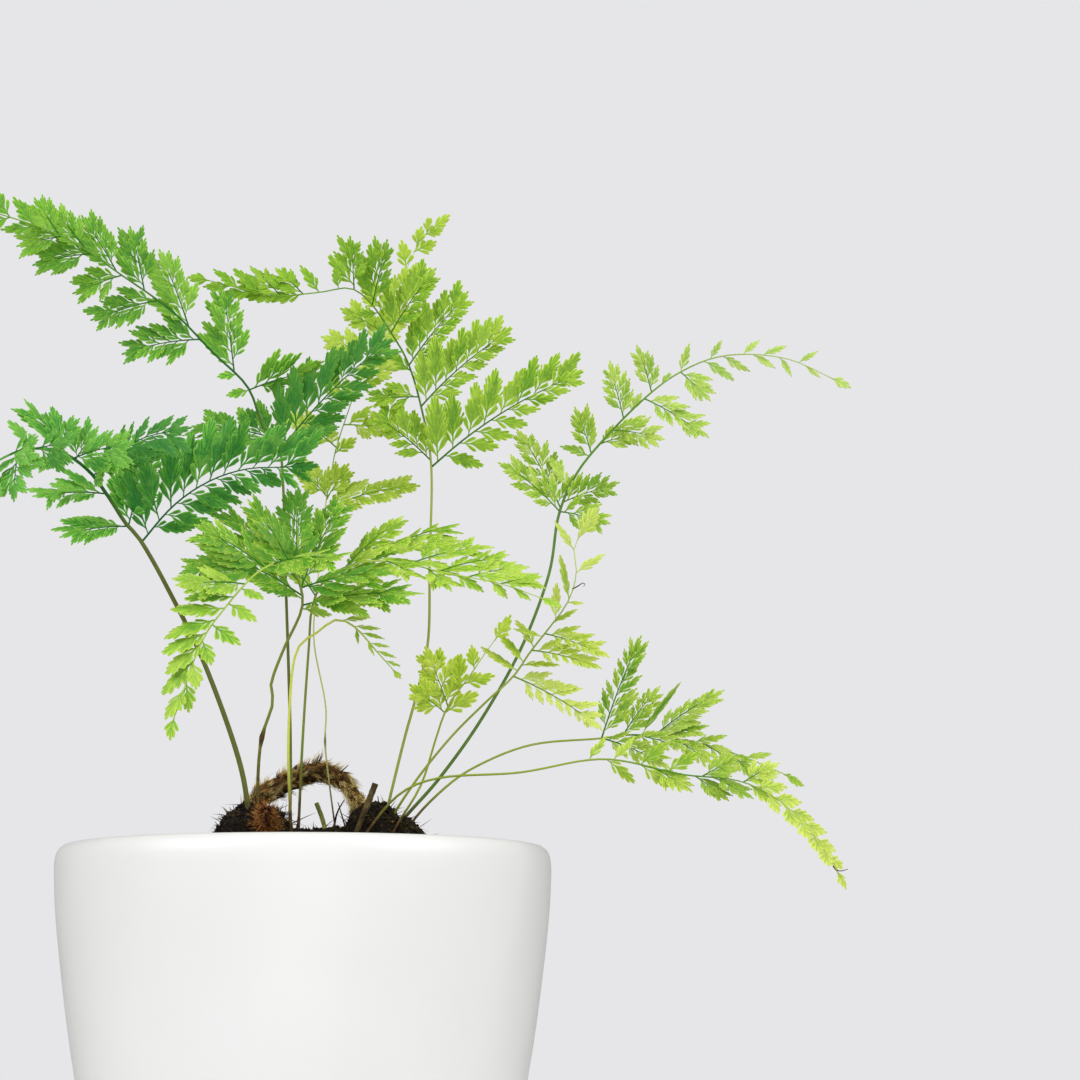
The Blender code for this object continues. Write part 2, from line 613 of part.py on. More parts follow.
def finish(obj, made):
    """Turns the finished mesh from millimetres into metres and gives it its material."""
    count = len(obj.data.vertices)
    points = np.empty(count * 3, np.float32)
    obj.data.vertices.foreach_get("co", points)
    obj.data.vertices.foreach_set("co", points * 0.001)
    obj.data.materials.clear()
    obj.data.materials.append(made)
    obj.data.update()
    return obj


def stem_radius(frond, share):
    return max(frond.width / 2 * (1.1 - 0.4 * share), STEM_LEAST)


def foot_places():
    """Places of the rings in the part of a stalk that stands in the soil."""
    return [FOOT_STEP * k for k in range(4)]


def frond_object(frond, colour):
    axis = Axis(frond.stipe + frond.rachis)
    node = axis.knots[len(frond.stipe) - 1]
    places = foot_places()
    count = 1 + int((node - places[-1]) / STEM_STEP)
    places += list(np.linspace(places[-1], node + 0.5, count + 1)[1:])
    points, faces = leafy_sheet(frond, axis, node).solid()
    leafy = mesh_object(frond.name, points, faces)
    stem = tube(axis, places, lambda share: stem_radius(frond, share), STEM_SIDES)
    join(leafy, mesh_object("stem", *stem), "UNION")
    return finish(leafy, material(frond.name, colour, 0.45))


# The part of the pot's profile that the soil follows down, inside the wall
SOIL_WALL = POT_PROFILE[-5:]
SOIL_SIDES = 20
SOIL_TOP = 119.5
# Rings of the soil's surface from the middle out, as half-widths along X and Y, and where the middle is
SOIL_MIDDLE = 4.0
SOIL_RINGS = ((7, 5), (14, 10), (21, 14.5), (28, 18), (33, 21), (46, 38))
# How steep the sides of a heap are, and how far crumbs lift its surface
HEAP_STEEPNESS = 0.4
CRUMB = 0.8
# Heaps of soil and root: middle x and y, half-widths, height
HEAPS = (
    (-14, 1, 12.5, 17, 17.5), (20, 1, 9.5, 17, 18.5), (27, -1, 9.5, 13, 13.5),
    (4, 1, 27, 17, 10.5), (2, 0, 58, 52, 3.5),
)
ARCH = (
    (-16.5, 12, 127), (-15.5, 12, 135.5), (-12, 12, 140), (-7.5, 12, 142.5), (-2.5, 12, 145), (3, 12, 147),
    (8, 12, 146), (12.5, 12, 143), (15, 12, 139), (16, 12, 133.5), (16, 12, 126.5),
)
ARCH_RADIUS = 3.0
TIP = ((-10.5, -7, 124), (-10.5, -11.5, 129), (-10.5, -16, 132), (-10.5, -20, 133.5))
TIP_RADIUS = 3.2
GREEN_STUB = ((7, -4, 123.5), (5.5, -4, 131.5), (3.5, -4, 137))
BROWN_STUB = ((13.5, -11, 124), (15.5, -11, 130), (20, -11, 142))
GREEN_RADIUS = 0.65
BROWN_RADIUS = 0.9
# How far the fur pushes the rhizome's surface in and out, as a share of its radius
FUR = 0.2


def pot_object():
    points, faces = [], []
    for radius, height in POT_PROFILE:
        for k in range(POT_SIDES):
            q = 2 * np.pi * k / POT_SIDES
            points.append((radius * np.cos(q), radius * np.sin(q), height))
    for i in range(len(POT_PROFILE) - 1):
        for k in range(POT_SIDES):
            a, b = i * POT_SIDES + k, i * POT_SIDES + (k + 1) % POT_SIDES
            faces += [(a, b, b + POT_SIDES), (a, b + POT_SIDES, a + POT_SIDES)]
    foot, floor = len(points), len(points) + 1
    points += [(0, 0, 0), (0, 0, POT_PROFILE[-1][1])]
    last = (len(POT_PROFILE) - 1) * POT_SIDES
    for k in range(POT_SIDES):
        step = (k + 1) % POT_SIDES
        faces += [(foot, step, k), (floor, last + k, last + step)]
    return finish(mesh_object("pot", points, faces), material("pot", (0.86, 0.86, 0.85), 0.45))


def soil_height(x, y, rng):
    heights = [SOIL_TOP]
    for cx, cy, wide, deep, high in HEAPS:
        inside = 1 - ((x - cx) / wide) ** 2 - ((y - cy) / deep) ** 2
        heights.append(SOIL_TOP + high * max(0.0, inside) ** HEAP_STEEPNESS)
    return max(heights) + rng.uniform(-1, 1) * CRUMB * (max(heights) > SOIL_TOP)


def soil_shape():
    """The soil as one closed shape: heaped surface, side that follows the wall, flat bottom."""
    rng = np.random.default_rng(4)
    angles = 2 * np.pi * np.arange(SOIL_SIDES) / SOIL_SIDES
    shrink = np.cos(np.pi / POT_SIDES)
    points = [(SOIL_MIDDLE, 0, soil_height(SOIL_MIDDLE, 0, rng))]
    for wide, deep in SOIL_RINGS:
        for q in angles:
            x, y = SOIL_MIDDLE + wide * np.cos(q), deep * np.sin(q)
            points.append((x, y, soil_height(x, y, rng)))
    for radius, height in SOIL_WALL:
        level = SOIL_TOP if height == SOIL_WALL[0][1] else max(height, SOIL_WALL[-1][1] + WALL_GAP)
        for q in angles:
            reach = radius * shrink - WALL_GAP
            points.append((reach * np.cos(q), reach * np.sin(q), level))
    points.append((0, 0, SOIL_WALL[-1][1] + WALL_GAP))
    rings = len(SOIL_RINGS) + len(SOIL_WALL)
    faces = []
    for k in range(SOIL_SIDES):
        step = (k + 1) % SOIL_SIDES
        faces.append((0, 1 + k, 1 + step))
        for i in range(rings - 1):
            a, b = 1 + i * SOIL_SIDES + k, 1 + i * SOIL_SIDES + step
            faces += [(a, a + SOIL_SIDES, b + SOIL_SIDES), (a, b + SOIL_SIDES, b)]
        last = 1 + (rings - 1) * SOIL_SIDES
        faces.append((len(points) - 1, last + step, last + k))
    return np.array(points, float), faces


def hole(axis, places, radius_at, sides):
    """A plain hole for what stands in the soil: its own shape, longer and wider by the gaps."""
    places = [-ROOM_BELOW] + list(places[1:])
    return tube(axis, places, lambda share: (radius_at(share) + HOLE_GAP) / np.cos(np.pi / sides), sides)


def soil_object():
    soil = mesh_object("soil", *soil_shape())
    holes = []
    for frond in FRONDS:
        axis = Axis(frond.stipe + frond.rachis)
        holes.append(hole(axis, foot_places(), lambda share: stem_radius(frond, share), 6))
    for points, radius in ((GREEN_STUB, GREEN_RADIUS), (BROWN_STUB, BROWN_RADIUS)):
        axis = Axis(points)
        holes.append(hole(axis, even(0, axis.length, 4), lambda share: radius, 6))
    arch, tip = Axis(ARCH), Axis(TIP)
    holes.append(hole(arch, even(0, arch.length, 15), lambda share: (1 + FUR) * arch_radius(share), 8))
    holes.append(hole(tip, even(0, tip.length, 5), lambda share: (1 + FUR) * tip_radius(share), 8))
    for shape in holes:
        join(soil, mesh_object("hole", *shape), "DIFFERENCE")
    return finish(soil, material("soil", (0.045, 0.03, 0.02), 0.95))


def even(start, end, count):
    return list(np.linspace(start, end, count))


def arch_radius(share):
    return ARCH_RADIUS * (0.78 + 0.35 * np.sin(np.pi * min(1.0, 1.25 * share)) ** 2)


def tip_radius(share):
    return TIP_RADIUS * (1.05 - 0.8 * share**2)


def rhizome_objects():
    """The furry rhizome that arches over the soil, and its growing tip that looks out at the front."""
    rng = np.random.default_rng(8)
    made = []
    for name, points, radius_at, rings, colour in (
        ("rhizome_arch", ARCH, arch_radius, 15, (0.42, 0.25, 0.10)),
        ("rhizome_tip", TIP, tip_radius, 8, (0.50, 0.24, 0.07)),
    ):
        axis = Axis(points)
        end = axis.length - ROOM_BELOW * (name == "rhizome_arch")
        shape = tube(axis, even(0, end, rings), radius_at, 8, FUR, rng)
        made.append(finish(mesh_object(name, *shape), material(name, colour, 0.9)))
    return made


def stub_objects():
    """Two cut stalks left standing."""
    made = []
    for name, points, radius, colour in (
        ("stub_green", GREEN_STUB, GREEN_RADIUS, (0.25, 0.30, 0.08)),
        ("stub_brown", BROWN_STUB, BROWN_RADIUS, (0.16, 0.12, 0.05)),
    ):
        axis = Axis(points)
        shape = tube(axis, even(0, axis.length, 4), lambda share: radius, 6)
        made.append(finish(mesh_object(name, *shape), material(name, colour, 0.7)))
    return made


def main():
    for obj in list(bpy.data.objects):
        bpy.data.objects.remove(obj)
    pot_object()
    soil_object()
    rhizome_objects()
    stub_objects()
    for frond in FRONDS:
        frond_object(frond, LEAF_COLOURS[frond.name])


main()
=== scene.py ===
"""The looks of the potted fern: finely cut leaflets, furry rhizome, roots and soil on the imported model."""

from collections import namedtuple

import bpy
import numpy as np
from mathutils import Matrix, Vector, noise
from mathutils.geometry import delaunay_2d_cdt

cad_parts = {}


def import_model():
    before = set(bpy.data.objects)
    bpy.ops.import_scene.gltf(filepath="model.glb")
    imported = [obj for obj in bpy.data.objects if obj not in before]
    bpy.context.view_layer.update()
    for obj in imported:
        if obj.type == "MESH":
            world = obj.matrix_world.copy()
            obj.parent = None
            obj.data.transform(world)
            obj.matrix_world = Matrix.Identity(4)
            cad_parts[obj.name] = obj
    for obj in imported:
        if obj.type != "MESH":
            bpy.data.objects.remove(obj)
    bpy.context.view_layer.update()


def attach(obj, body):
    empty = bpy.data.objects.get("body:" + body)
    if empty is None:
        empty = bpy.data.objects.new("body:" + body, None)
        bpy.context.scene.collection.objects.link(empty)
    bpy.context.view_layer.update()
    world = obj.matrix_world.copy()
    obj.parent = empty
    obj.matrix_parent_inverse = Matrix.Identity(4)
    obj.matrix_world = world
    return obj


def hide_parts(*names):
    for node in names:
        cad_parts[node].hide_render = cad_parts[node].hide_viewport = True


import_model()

MM = 0.001
UP = np.array([0.0, 0.0, 1.0])

# Sizes of the plant in millimetres, the same as in the solids
POT_HEIGHT = 125.0
POT_RADIUS = 70.0
SOIL_TOP = 119.5

# Stalks: room between rings, sides, and how thick they are at the foot, the node and the tip, as shares
STALK_STEP = 3.0
STALK_SIDES = 8
STALK_TAPER = (1.06, 0.80, 0.30)
# The midrib of a pinna: its sides, room between rings, and radius, which grows with each millimetre of length
RIB_SIDES = 5
RIB_STEP = 3.0
RIB_RADIUS = (0.20, 0.0022)
# How strongly a pinna arches, and how that grows with each millimetre
BOW = (0.25, 0.004)

# Half the thickness of a leaflet on a vein and at its edge, and how far a vein is sunk in the upper side
BLADE_ON_VEIN = 0.13
BLADE_AT_EDGE = 0.07
RIDGE = 0.10
# How much leaflets bend down, cup and sway aside, and how much that varies
LEAF_FORM = (0.07, 0.10, 0.0)
LEAF_VARIES = (0.05, 0.08, 0.05)
# Leaflets: lengths of the prepared shapes, and how many there are of each
TEMPLATE_SIZES = (2.6, 3.6, 4.8, 6.2, 7.6, 9.2, 11.0, 13.2, 15.5)
VARIANTS = 3
# The teeth round the end of a blade: how far the outer ones lean out and stand back, how much of their room
# they fill, and about how wide each tooth is
TOOTH_SPREAD = 30.0
TOOTH_FALL = 0.34
TOOTH_FILL = 0.90
TOOTH_WIDTH = 0.88
# The least depth of the cuts between them, how much more it may be, and how it grows with the blade's length
CUT_DEPTH = (0.304, 0.19, 0.04)
# How much the teeth vary in length, how much farther out the outermost stand, and from what share of the
# half-width that is
TOOTH_VARIES = 0.02
TOOTH_OUTER = 0.25
OUTER_FROM = 0.7
# In half-widths of a tooth: its shoulders below its tip, half its blunt end, and where its vein stops
SHOULDER = 0.85
BLUNT = 0.3
VEIN_STOP = 1.2
# Where the veins of a blade part, as a share of its length
HUB = 0.3
# A blade's side below its teeth: length and half-width there, as shares of its own
BLADE_SIDE = ((0.14, 0.10), (0.34, 0.30), (0.54, 0.465))
ROOT_HALF = 0.16
# Kinds of leaflet, by their length: where the end blade starts and its width for its length, and pairs of
# lobes below it, each with its place, angle, length, and width for its length
KIND_FROM = (4.0, 7.0, 12.0)
Kind = namedtuple("Kind", "start wide pairs")
KINDS = (
    Kind(0.0, 0.62, ()),
    Kind(0.20, 0.52, ((0.08, 32.0, 0.53, 0.32),)),
    Kind(0.34, 0.50, ((0.09, 36.0, 0.41, 0.31), (0.24, 26.5, 0.50, 0.33))),
    Kind(0.44, 0.49, ((0.07, 38.0, 0.35, 0.31), (0.20, 30.5, 0.44, 0.32), (0.33, 24.0, 0.46, 0.33))),
)
# How much farther up the midrib one lobe of a pair stands
LOBE_SHIFT = 0.05
# Half the width of the blade along a leaflet's midrib, where that blade ends, as a share of its length
WING = 0.03
# How far from a leaflet's midrib the blade is dark
MIDRIB_SHADE = 0.9
# How much lobes vary in length, as a share, and in angle, and end blades in width
LOBE_VARIES = 0.08
LOBE_TURNS = 2.0
END_VARIES = 0.06
# On one side of a pinna, and how it grows with each millimetre of the pinna: the room between leaflets, the
# length of the lowest and its angle in degrees, which has a most, and its place as a share of the pinna
LEAFLET_STEP = (3.4, 0.075)
LEAFLET_SIZE = (5.2, 0.175)
LEAFLET_ANGLE = (40.0, 0.42)
LEAFLET_STEEPEST = 62.0
LEAFLET_FIRST = (0.10, -0.001)
# How far the leaflets of the other side are shifted, in rooms, and how much smaller leaflets get upwards
OTHER_SIDE = 0.45
LEAFLET_SHRINKS = 0.45
# How much leaflets vary in length, as a share, and in angle, lift and twist in degrees
PLAN_VARIES = (0.06, 3, 7, 9)
# The blade that ends a pinna: its length and how that grows, the most that it may be of the pinna's length,
# and how much of it reaches past the last leaflets and past the midrib
END_SIZE = (8.0, 0.06)
END_MOST = 0.66
END_CLEAR = 0.72
END_BARE = 0.8
# How much the tones of leaflets and of whole pinnae vary
LEAFLET_TONE = 0.35
PINNA_TONE = 0.45

# How a frond's leaflets stand, against the usual: their angle, how much longer they are on the side towards
# the frond's tip, their length and width, and the room between them. Then their angle at a pinna's tip in
# degrees, the length below which a pinna is a single leaflet, and how wide such leaflets are, at the foot
# of the rachis and at its tip
Habit = namedtuple("Habit", "spread uneven full slim close splay single lone", defaults=(24, 11.5, (1, 1)))
USUAL = Habit(1.0, 0.12, 1.08, 1.0, 1.0)
HABITS = {
    "frond_left": Habit(0.90, 0.22, 1.24, 0.68, 0.62, 36),
    "frond_front": Habit(0.66, 0.10, 1.26, 0.66, 0.64, 20, 18, (1, 1.15)),
    "frond_tall": Habit(0.84, 0.22, 1.14, 0.76, 0.78, 25, lone=(0.8, 0.8)),
    "frond_upper_left": Habit(0.76, 0.12, 1.26, 0.72, 0.74, lone=(0.85, 0.85)),
    "frond_centre_right": Habit(0.84, 0.12, 1.12, 0.74, 0.78),
    "frond_back_pale": Habit(0.90, 0.10, 1.00, 1.00, 0.90, lone=(1.1, 1.1)),
    "frond_small_droop": Habit(0.80, 0.10, 0.80, 0.40, 1.00, 24, 14, (0.34, 0.34)),
    "frond_right_mid": Habit(0.80, 0.25, 0.78, 0.62, 0.66, 24, 14.5, (0.6, 0.5)),
    "frond_right_arch": Habit(0.85, 0.10, 1.00, 0.64, 0.78, lone=(0.8, 0.5)),
    "frond_low_right_front": Habit(0.85, 0.10, 0.95, 0.66, 0.80, lone=(0.55, 1.6)),
    "frond_low_right_back": Habit(0.66, 0.15, 0.90, 0.54, 0.66, lone=(0.4, 0.8)),
}
# A pinna that is a single leaflet in spite of its length, by its place and length, and how wide it is
SINGLES = {"frond_low_right_back": ((14, 20),)}
SINGLE_WIDE = 0.22
# Pinnae that are lighter or darker than their frond, by their place and length, and by how much
SHADES = {
    "frond_low_right_front": {(37, 14): -1.4, (32, 12): -0.7},
    "frond_low_right_back": {(14, 20): -0.9},
    "frond_left": {(24, 32): -1.2, (6, 26): -0.6, (51, 13): -1.0, (0, 55): -0.6},
    "frond_upper_left": {(0, 46): -1.3, (3, 30): -0.5},
    "frond_front": {
        (7, 28): -0.9, (10, 31): -0.7, (14, 28): -1.2, (20, 22): -0.7, (0, 10): 1.0, (3, 11): 1.0,
    },
}
# Fronds whose rachis is nearly as light as their leaves, and from what share of its length any rachis is
PALE_RACHIS = ("frond_front", "frond_centre_right")
PALE_FROM = 0.7
# Swollen knots on two stalks: place up the stalk, how much they swell and how far that reaches
KNOTS = {"frond_front": 34.5, "frond_back_pale": 34.5}
KNOT = 0.9
KNOT_REACH = 0.9
# From where and how far up stalks are dark, and over what length a stalk turns into the green rachis
DARK_FROM = 10.0
DARK_TO = 20.0
DARK_FEET = {
    "frond_front": 44.0, "frond_centre_right": 34.0, "frond_small_droop": 30.0, "frond_back_pale": 36.0,
    "frond_low_right_back": 26.0, "frond_low_right_front": 26.0,
}
GREENING = 22.0
# How far down the rachis its end leaflet is rooted
END_SEAT = 1.5
# Withered curls: their radius, where each grows, and the steps of its line
CURL_RADIUS = 0.22
CURLS = {
    "frond_right_mid": ((77.2, -21, 197.4), (
        (-2.4, 0.3, -1.2), (-0.6, 0, -0.2), (0.5, -0.3, 0.5), (1.2, 0, 0.1), (0.7, 0.3, -0.4),
    )),
    "frond_low_right_front": ((142.2, -63, 116.6), (
        (0, 0, 0), (0.8, 0, -1.1), (2.1, -0.2, -1.4), (4.0, -0.5, -0.9),
    )),
}

# A frond: stalk thickness, length of the end leaflet, the way the leaf faces at its node and at its tip,
# points down the middle of the bare stipe and of the leafy rachis, and its pinnae. A pinna: its place up
# the rachis from the node, length, turn from the rachis (right is plus), lift out of the leaf, roll about
# itself and, if it isn't the usual, how strongly it arches. All are in millimetres and degrees.
Frond = namedtuple("Frond", "name width tip face_node face_tip stipe rachis pinnae")
Pinna = namedtuple("Pinna", "place length turn lift roll arch", defaults=(0, 0))
FRONDS = (
    Frond("frond_upper_left", 0.95, 9, (0.1, -1, 0.25), (0, -1, 0.35), stipe=(
        (-4.5, 1, 121.5), (-4, 1, 129), (-4, 2, 155.5), (-5.5, 6, 196), (-7.5, 8, 239.5),
    ), rachis=(
        (-12.5, 7, 245.5), (-17, 4, 257), (-27, -2, 266), (-38.5, -9, 276.5), (-53, -17, 285.5),
        (-67, -25, 293.5), (-82, -32, 298), (-100.5, -39, 301.5),
    ), pinnae=(
        (0, 46, 53, 22), (3, 30, -56, -36, 10), (21, 23, 107, 8, 65), (21, 7, -82, -16), (27, 6, -54, -8),
        (28, 25, 45, -2), (42, 23, -55, -19), (47, 24, 31, -11, 10), (59, 20, -50, -29), (64, 19, 48, 3),
        (72, 15, -53, -30), (74, 19, 32, -11), (83, 17, -40, -32), (85, 16, 30, -16), (93, 13, -31, -32),
        (94, 13, 41, -8), (101, 10, -29, -31), (102, 10, 44, -5), (109, 10, 43, -3), (109, 9, -33, -29),
        (117, 7, 47, 1), (117, 6, -32, -27),
    )),
    Frond("frond_left", 1.55, 9, (0.3, -0.85, 0.5), (-0.1, -0.35, 1), stipe=(
        (-14.5, -6, 121.5), (-15, -6, 128.5), (-18, -7, 147.5), (-28, -11, 175), (-38.5, -15, 196),
        (-46, -18, 209),
    ), rachis=(
        (-50.5, -21, 214), (-55, -26, 220.5), (-60.5, -33, 227), (-68, -44, 230.5), (-77, -55, 229),
        (-85.5, -64, 223), (-92, -70, 216),
    ), pinnae=(
        (0, 55, 106, 46, 35, 1.5), (6, 26, 66, 19), (6, 20, -45, -32, 10), (18, 21, -38, -44, 10),
        (24, 32, -57, 88, 20, 1.3), (25, 21, -45, 47, 40), (34, 12, 124, 67), (35, 16, -3, -40, 20),
        (35, 21, -86, 44, 60), (38, 20, 65, 15, 20), (41, 12, 119, 57), (51, 13, -94, 22, 60),
        (51, 11, 66, 28), (58, 18, -39, -29, 20), (61, 12, -93, 26, 60), (65, 11, 80, 40),
        (71, 15, -39, -21), (74, 8, 51, 50),
    )),
    Frond("frond_front", 1.0, 5, (0, -0.55, 1), (-0.25, -1, 0.25), stipe=(
        (-13, -2, 121.5), (-13, -2, 129), (-13, -3, 145), (-12, -4, 155.5), (-9, -6, 165),
        (-9.5, -7, 170.5), (-6, -10, 180), (-1, -14, 191),
    ), rachis=(
        (-2, -21, 198), (-5.5, -34, 201.5), (-13, -48, 197), (-21.5, -59, 186), (-28, -66, 175),
        (-35, -73, 153.5),
    ), pinnae=(
        (0, 10, -113, -59, 20), (1, 35, -21, -67, 15), (3, 11, 59, -9), (4, 36, 40, -32, -25),
        (7, 28, -80, 19, 15), (7, 34, 51, 83), (10, 31, 70, 26), (14, 28, 89, 77), (20, 22, 52, 42),
        (32, 32, -63, 17), (37, 24, 50, 30, -20), (41, 21, 60, 1, -10), (48, 22, 32, 19, -10),
        (50, 8, -72, -2, -20), (54, 14, 47, 8, 20), (57, 10, -74, -7, -20), (59, 15, 45, 5, 20),
        (64, 15, 34, -1, 20), (66, 10, -70, -14, -20), (69, 14, 34, -2, 20), (72, 8, -40, -9, -20),
        (73, 13, 21, -5, 20), (78, 13, 24, -11, 20), (79, 8, -26, -3, -20), (85, 8, -21, -14, -20),
        (87, 10, 10, 6, 20),
    )),
    Frond("frond_centre_right", 0.85, 6, (0, -0.5, 0.85), (0.1, -0.6, 0.8), stipe=(
        (-1.5, 3, 122), (-1.5, 3, 129), (-0.5, 3, 155.5), (1, 2, 181), (2, 1, 193.5),
    ), rachis=(
        (6, -2, 201), (15.5, -8, 205), (27, -16, 204), (38, -23, 200.5), (54, -30, 196.5),
        (66, -36, 191.5),
    ), pinnae=(
        (3, 21, -49, 39), (6, 19, 64, -39), (7, 45, -27, -36, -10), (16, 23, -45, 8), (16, 13, 33, -41),
        (25, 28, -50, -4), (30, 18, 29, -5), (38, 25, -51, 3), (44, 13, 25, -8), (48, 21, -45, 5),
        (53, 10, 9, -19), (57, 18, -36, 3), (64, 7, 18, -27), (67, 12, -34, 8), (71, 6, -8, -28),
    )),
    Frond("frond_back_pale", 0.5, 5, (0.1, -1, 0.2), (0, -1, 0.3), stipe=(
        (9.5, 4, 122), (9, 4, 129.5), (6, 7, 153), (6, 11, 166), (2.5, 18, 185.5), (3.5, 28, 203),
        (5.5, 38, 226),
    ), rachis=(
        (7.5, 43, 239), (9, 46, 247), (13, 50, 260), (18, 54, 276), (24, 57, 291), (29.5, 58, 302.5),
        (32.5, 58, 309.5), (35.5, 57, 314), (39, 56, 316.5),
    ), pinnae=(
        (1, 29, 75, 21, -30), (4, 13, 24, 21), (5, 15, -50, -5), (20, 8, 46, 16), (22, 20, -64, -11, 10),
        (30, 17, 84, 9), (38, 13, -67, 6), (43, 16, 43, 9), (54, 15, -89, 3), (58, 19, 22, -12),
        (63, 13, -85, 5), (68, 13, -54, 9), (72, 17, 26, 5), (84, 9, -29, 18), (90, 9, 40, -27),
        (92, 6, -19, 17), (96, 7, 29, -41), (97, 5, -27, 20),
    )),
    Frond("frond_small_droop", 0.85, 2, (0.2, -0.7, 0.9), (0.3, -1, 0.4), stipe=(
        (-3.5, -9, 121), (-3.5, -9, 128.5), (-4.5, -10, 150), (-4, -12, 168), (-3, -12, 177),
        (-1, -12, 181.5), (3.5, -13, 184.5), (7.5, -14, 187.5),
    ), rachis=(
        (11, -15, 187.5), (15, -17, 184.5), (20, -19, 178.5), (25.5, -22, 172),
    ), pinnae=(
        (3, 9, -36, -8, 40), (7, 8, -39, -2, 40), (8, 6, 37, -7), (10, 7, -37, 0, 25), (13, 6, 27, 5),
        (14, 6, -40, -1, 25), (17, 6, -31, 0, 25), (21, 5, -32, -3, 25),
    )),
    Frond("frond_tall", 0.85, 5, (0, -1, 0.15), (0, -1, 0.3), stipe=(
        (21, 6, 122), (23.5, 6, 135), (28.5, 9, 156), (32, 12, 169), (35.5, 16, 185.5), (36, 21, 209.5),
        (36.5, 25, 237.5),
    ), rachis=(
        (33.5, 28, 256), (29.5, 29, 269.5), (24.5, 28, 278), (19, 25, 285.5), (12.5, 20, 289.5),
        (2.5, 17, 287.5), (-11, 13, 286), (-30, 9, 289.5),
    ), pinnae=(
        (0, 53, 62, 10), (2, 25, -45, -6), (19, 36, 62, 7), (22, 16, -81, -12, 20), (30, 10, -33, -17),
        (32, 29, 60, 0), (43, 24, 68, 2), (50, 7, -64, -34), (53, 20, 59, 2), (61, 16, 70, 11),
        (66, 7, 93, 14), (72, 10, 66, 6, 18), (77, 12, 58, -8, 22), (77, 11, -1, -18),
        (84, 13, 51, -8, 23), (84, 11, -6, -18), (90, 11, 33, -2, 23), (92, 10, -15, -16),
        (96, 10, 21, -5, 23), (99, 8, -20, -16),
    )),
    Frond("frond_low_right_front", 0.7, 4, (0.1, -0.75, 0.7), (0.5, -0.8, 0.5), stipe=(
        (13.5, -15, 121), (17.5, -15, 128), (26.5, -18, 138.5), (38, -21, 143), (59.5, -28, 144),
        (77.5, -34, 147),
    ), rachis=(
        (88, -38, 146.5), (103, -44, 142.5), (117.5, -50, 140.5), (127.5, -55, 135.5), (137, -59, 126),
        (144, -63, 114),
    ), pinnae=(
        (1, 9, -57, 14), (6, 11, 9, -48, 40), (8, 9, -56, 10), (16, 11, -59, 15), (16, 11, -9, -43, 40),
        (20, 13, 12, -15), (24, 11, -44, 15), (32, 12, 25, -22), (34, 12, -36, 7), (37, 14, 24, -9),
        (46, 12, -55, 12), (48, 8, 8, -20), (50, 9, -38, -4), (54, 7, 27, -14), (56, 8, -33, -6),
        (60, 8, 29, -4), (62, 7, -30, -5), (65, 8, 28, -1), (67, 7, -28, -8), (71, 7, 27, 2),
        (73, 6, -32, -7), (76, 7, 28, 7), (79, 5, -41, -3),
    )),
    Frond("frond_right_mid", 0.75, 10, (0.2, -0.6, 0.9), (0.4, -0.9, 0.2), stipe=(
        (19.5, -5, 121.5), (22.5, -5, 129), (31, -8, 142.5), (41, -11, 155), (50.5, -14, 164.5),
        (58.5, -16, 172),
    ), rachis=(
        (63, -18, 178.5), (68.5, -20, 185.5), (73.5, -21, 192.5), (76, -20, 200.5), (75.5, -18, 208),
        (78, -16, 213),
    ), pinnae=(
        (0, 30, 76, -36, 30), (2, 14, -104, 25), (4, 11, 50, -49), (5, 13, -78, 7), (9, 21, 66, -15, 20),
        (10, 12, -73, -16), (14, 9, -118, 8), (15, 20, 72, -7, 30), (19, 8, 30, 6), (20, 11, -38, -11),
        (26, 5, 77, 24), (27, 13, -38, 8, 15), (35, 10, 56, 24), (42, 10, -44, -4), (45, 8, -4, 21),
    )),
    Frond("frond_small", 0.7, 7, (0, -1, 0.2), (0, -1, 0.4), stipe=(
        (22.5, -12, 121), (25, -12, 128.5), (32.5, -14, 141), (36.5, -19, 153.5), (39, -23, 161),
    ), rachis=(
        (42, -25, 166), (45.5, -27, 170.5), (49.5, -28, 176.5), (53.5, -28, 182),
    ), pinnae=(
        (0, 13, -76, 14), (0, 11, 37, -1), (2, 18, -53, -7), (8, 11, -54, -29), (10, 9, 41, -8),
        (15, 7, -41, 1),
    )),
    Frond("frond_right_arch", 1.0, 5, (0.1, -1, 0.3), (0, -1, 0.5), stipe=(
        (23.5, 10, 122.5), (27, 10, 131.5), (38.5, 12, 145), (50.5, 16, 162), (62.5, 21, 183.5),
        (71, 26, 206), (74, 30, 223.5),
    ), rachis=(
        (78.5, 32, 235), (85.5, 35, 245), (99, 38, 259.5), (111, 40, 269), (125, 41, 274.5),
        (142.5, 39, 273.5), (157.5, 36, 266.5),
    ), pinnae=(
        (2, 25, -75, 28), (2, 19, 105, 37, 20), (3, 30, -42, -11), (5, 18, 55, 11, 35), (10, 11, -56, -3),
        (22, 9, -107, 4), (23, 15, -59, 21), (27, 14, 30, -14), (33, 16, 63, 6, 20), (38, 18, -59, 20),
        (41, 8, -16, -11), (47, 23, 79, -1), (50, 15, -66, 24), (54, 5, -11, 11), (61, 9, -36, 28),
        (61, 13, 80, -3), (69, 11, 58, -4), (71, 7, -33, 14), (75, 10, 36, -32), (81, 7, -37, 10),
        (84, 8, 29, -18), (87, 8, -24, 3), (92, 7, 40, -23), (98, 7, -51, 13), (100, 6, 11, -16),
    )),
    Frond("frond_low_right_back", 0.75, 6, (0.1, -0.9, 0.6), (0.2, -0.8, 0.7), stipe=(
        (26.5, 0, 122), (30, 0, 131), (38.5, 2, 140.5), (48.5, 6, 148), (65, 12, 155), (85, 19, 157.5),
    ), rachis=(
        (95, 23, 159), (106, 27, 158.5), (117, 31, 157), (129.5, 35, 153.5), (142.5, 39, 148.5),
    ), pinnae=(
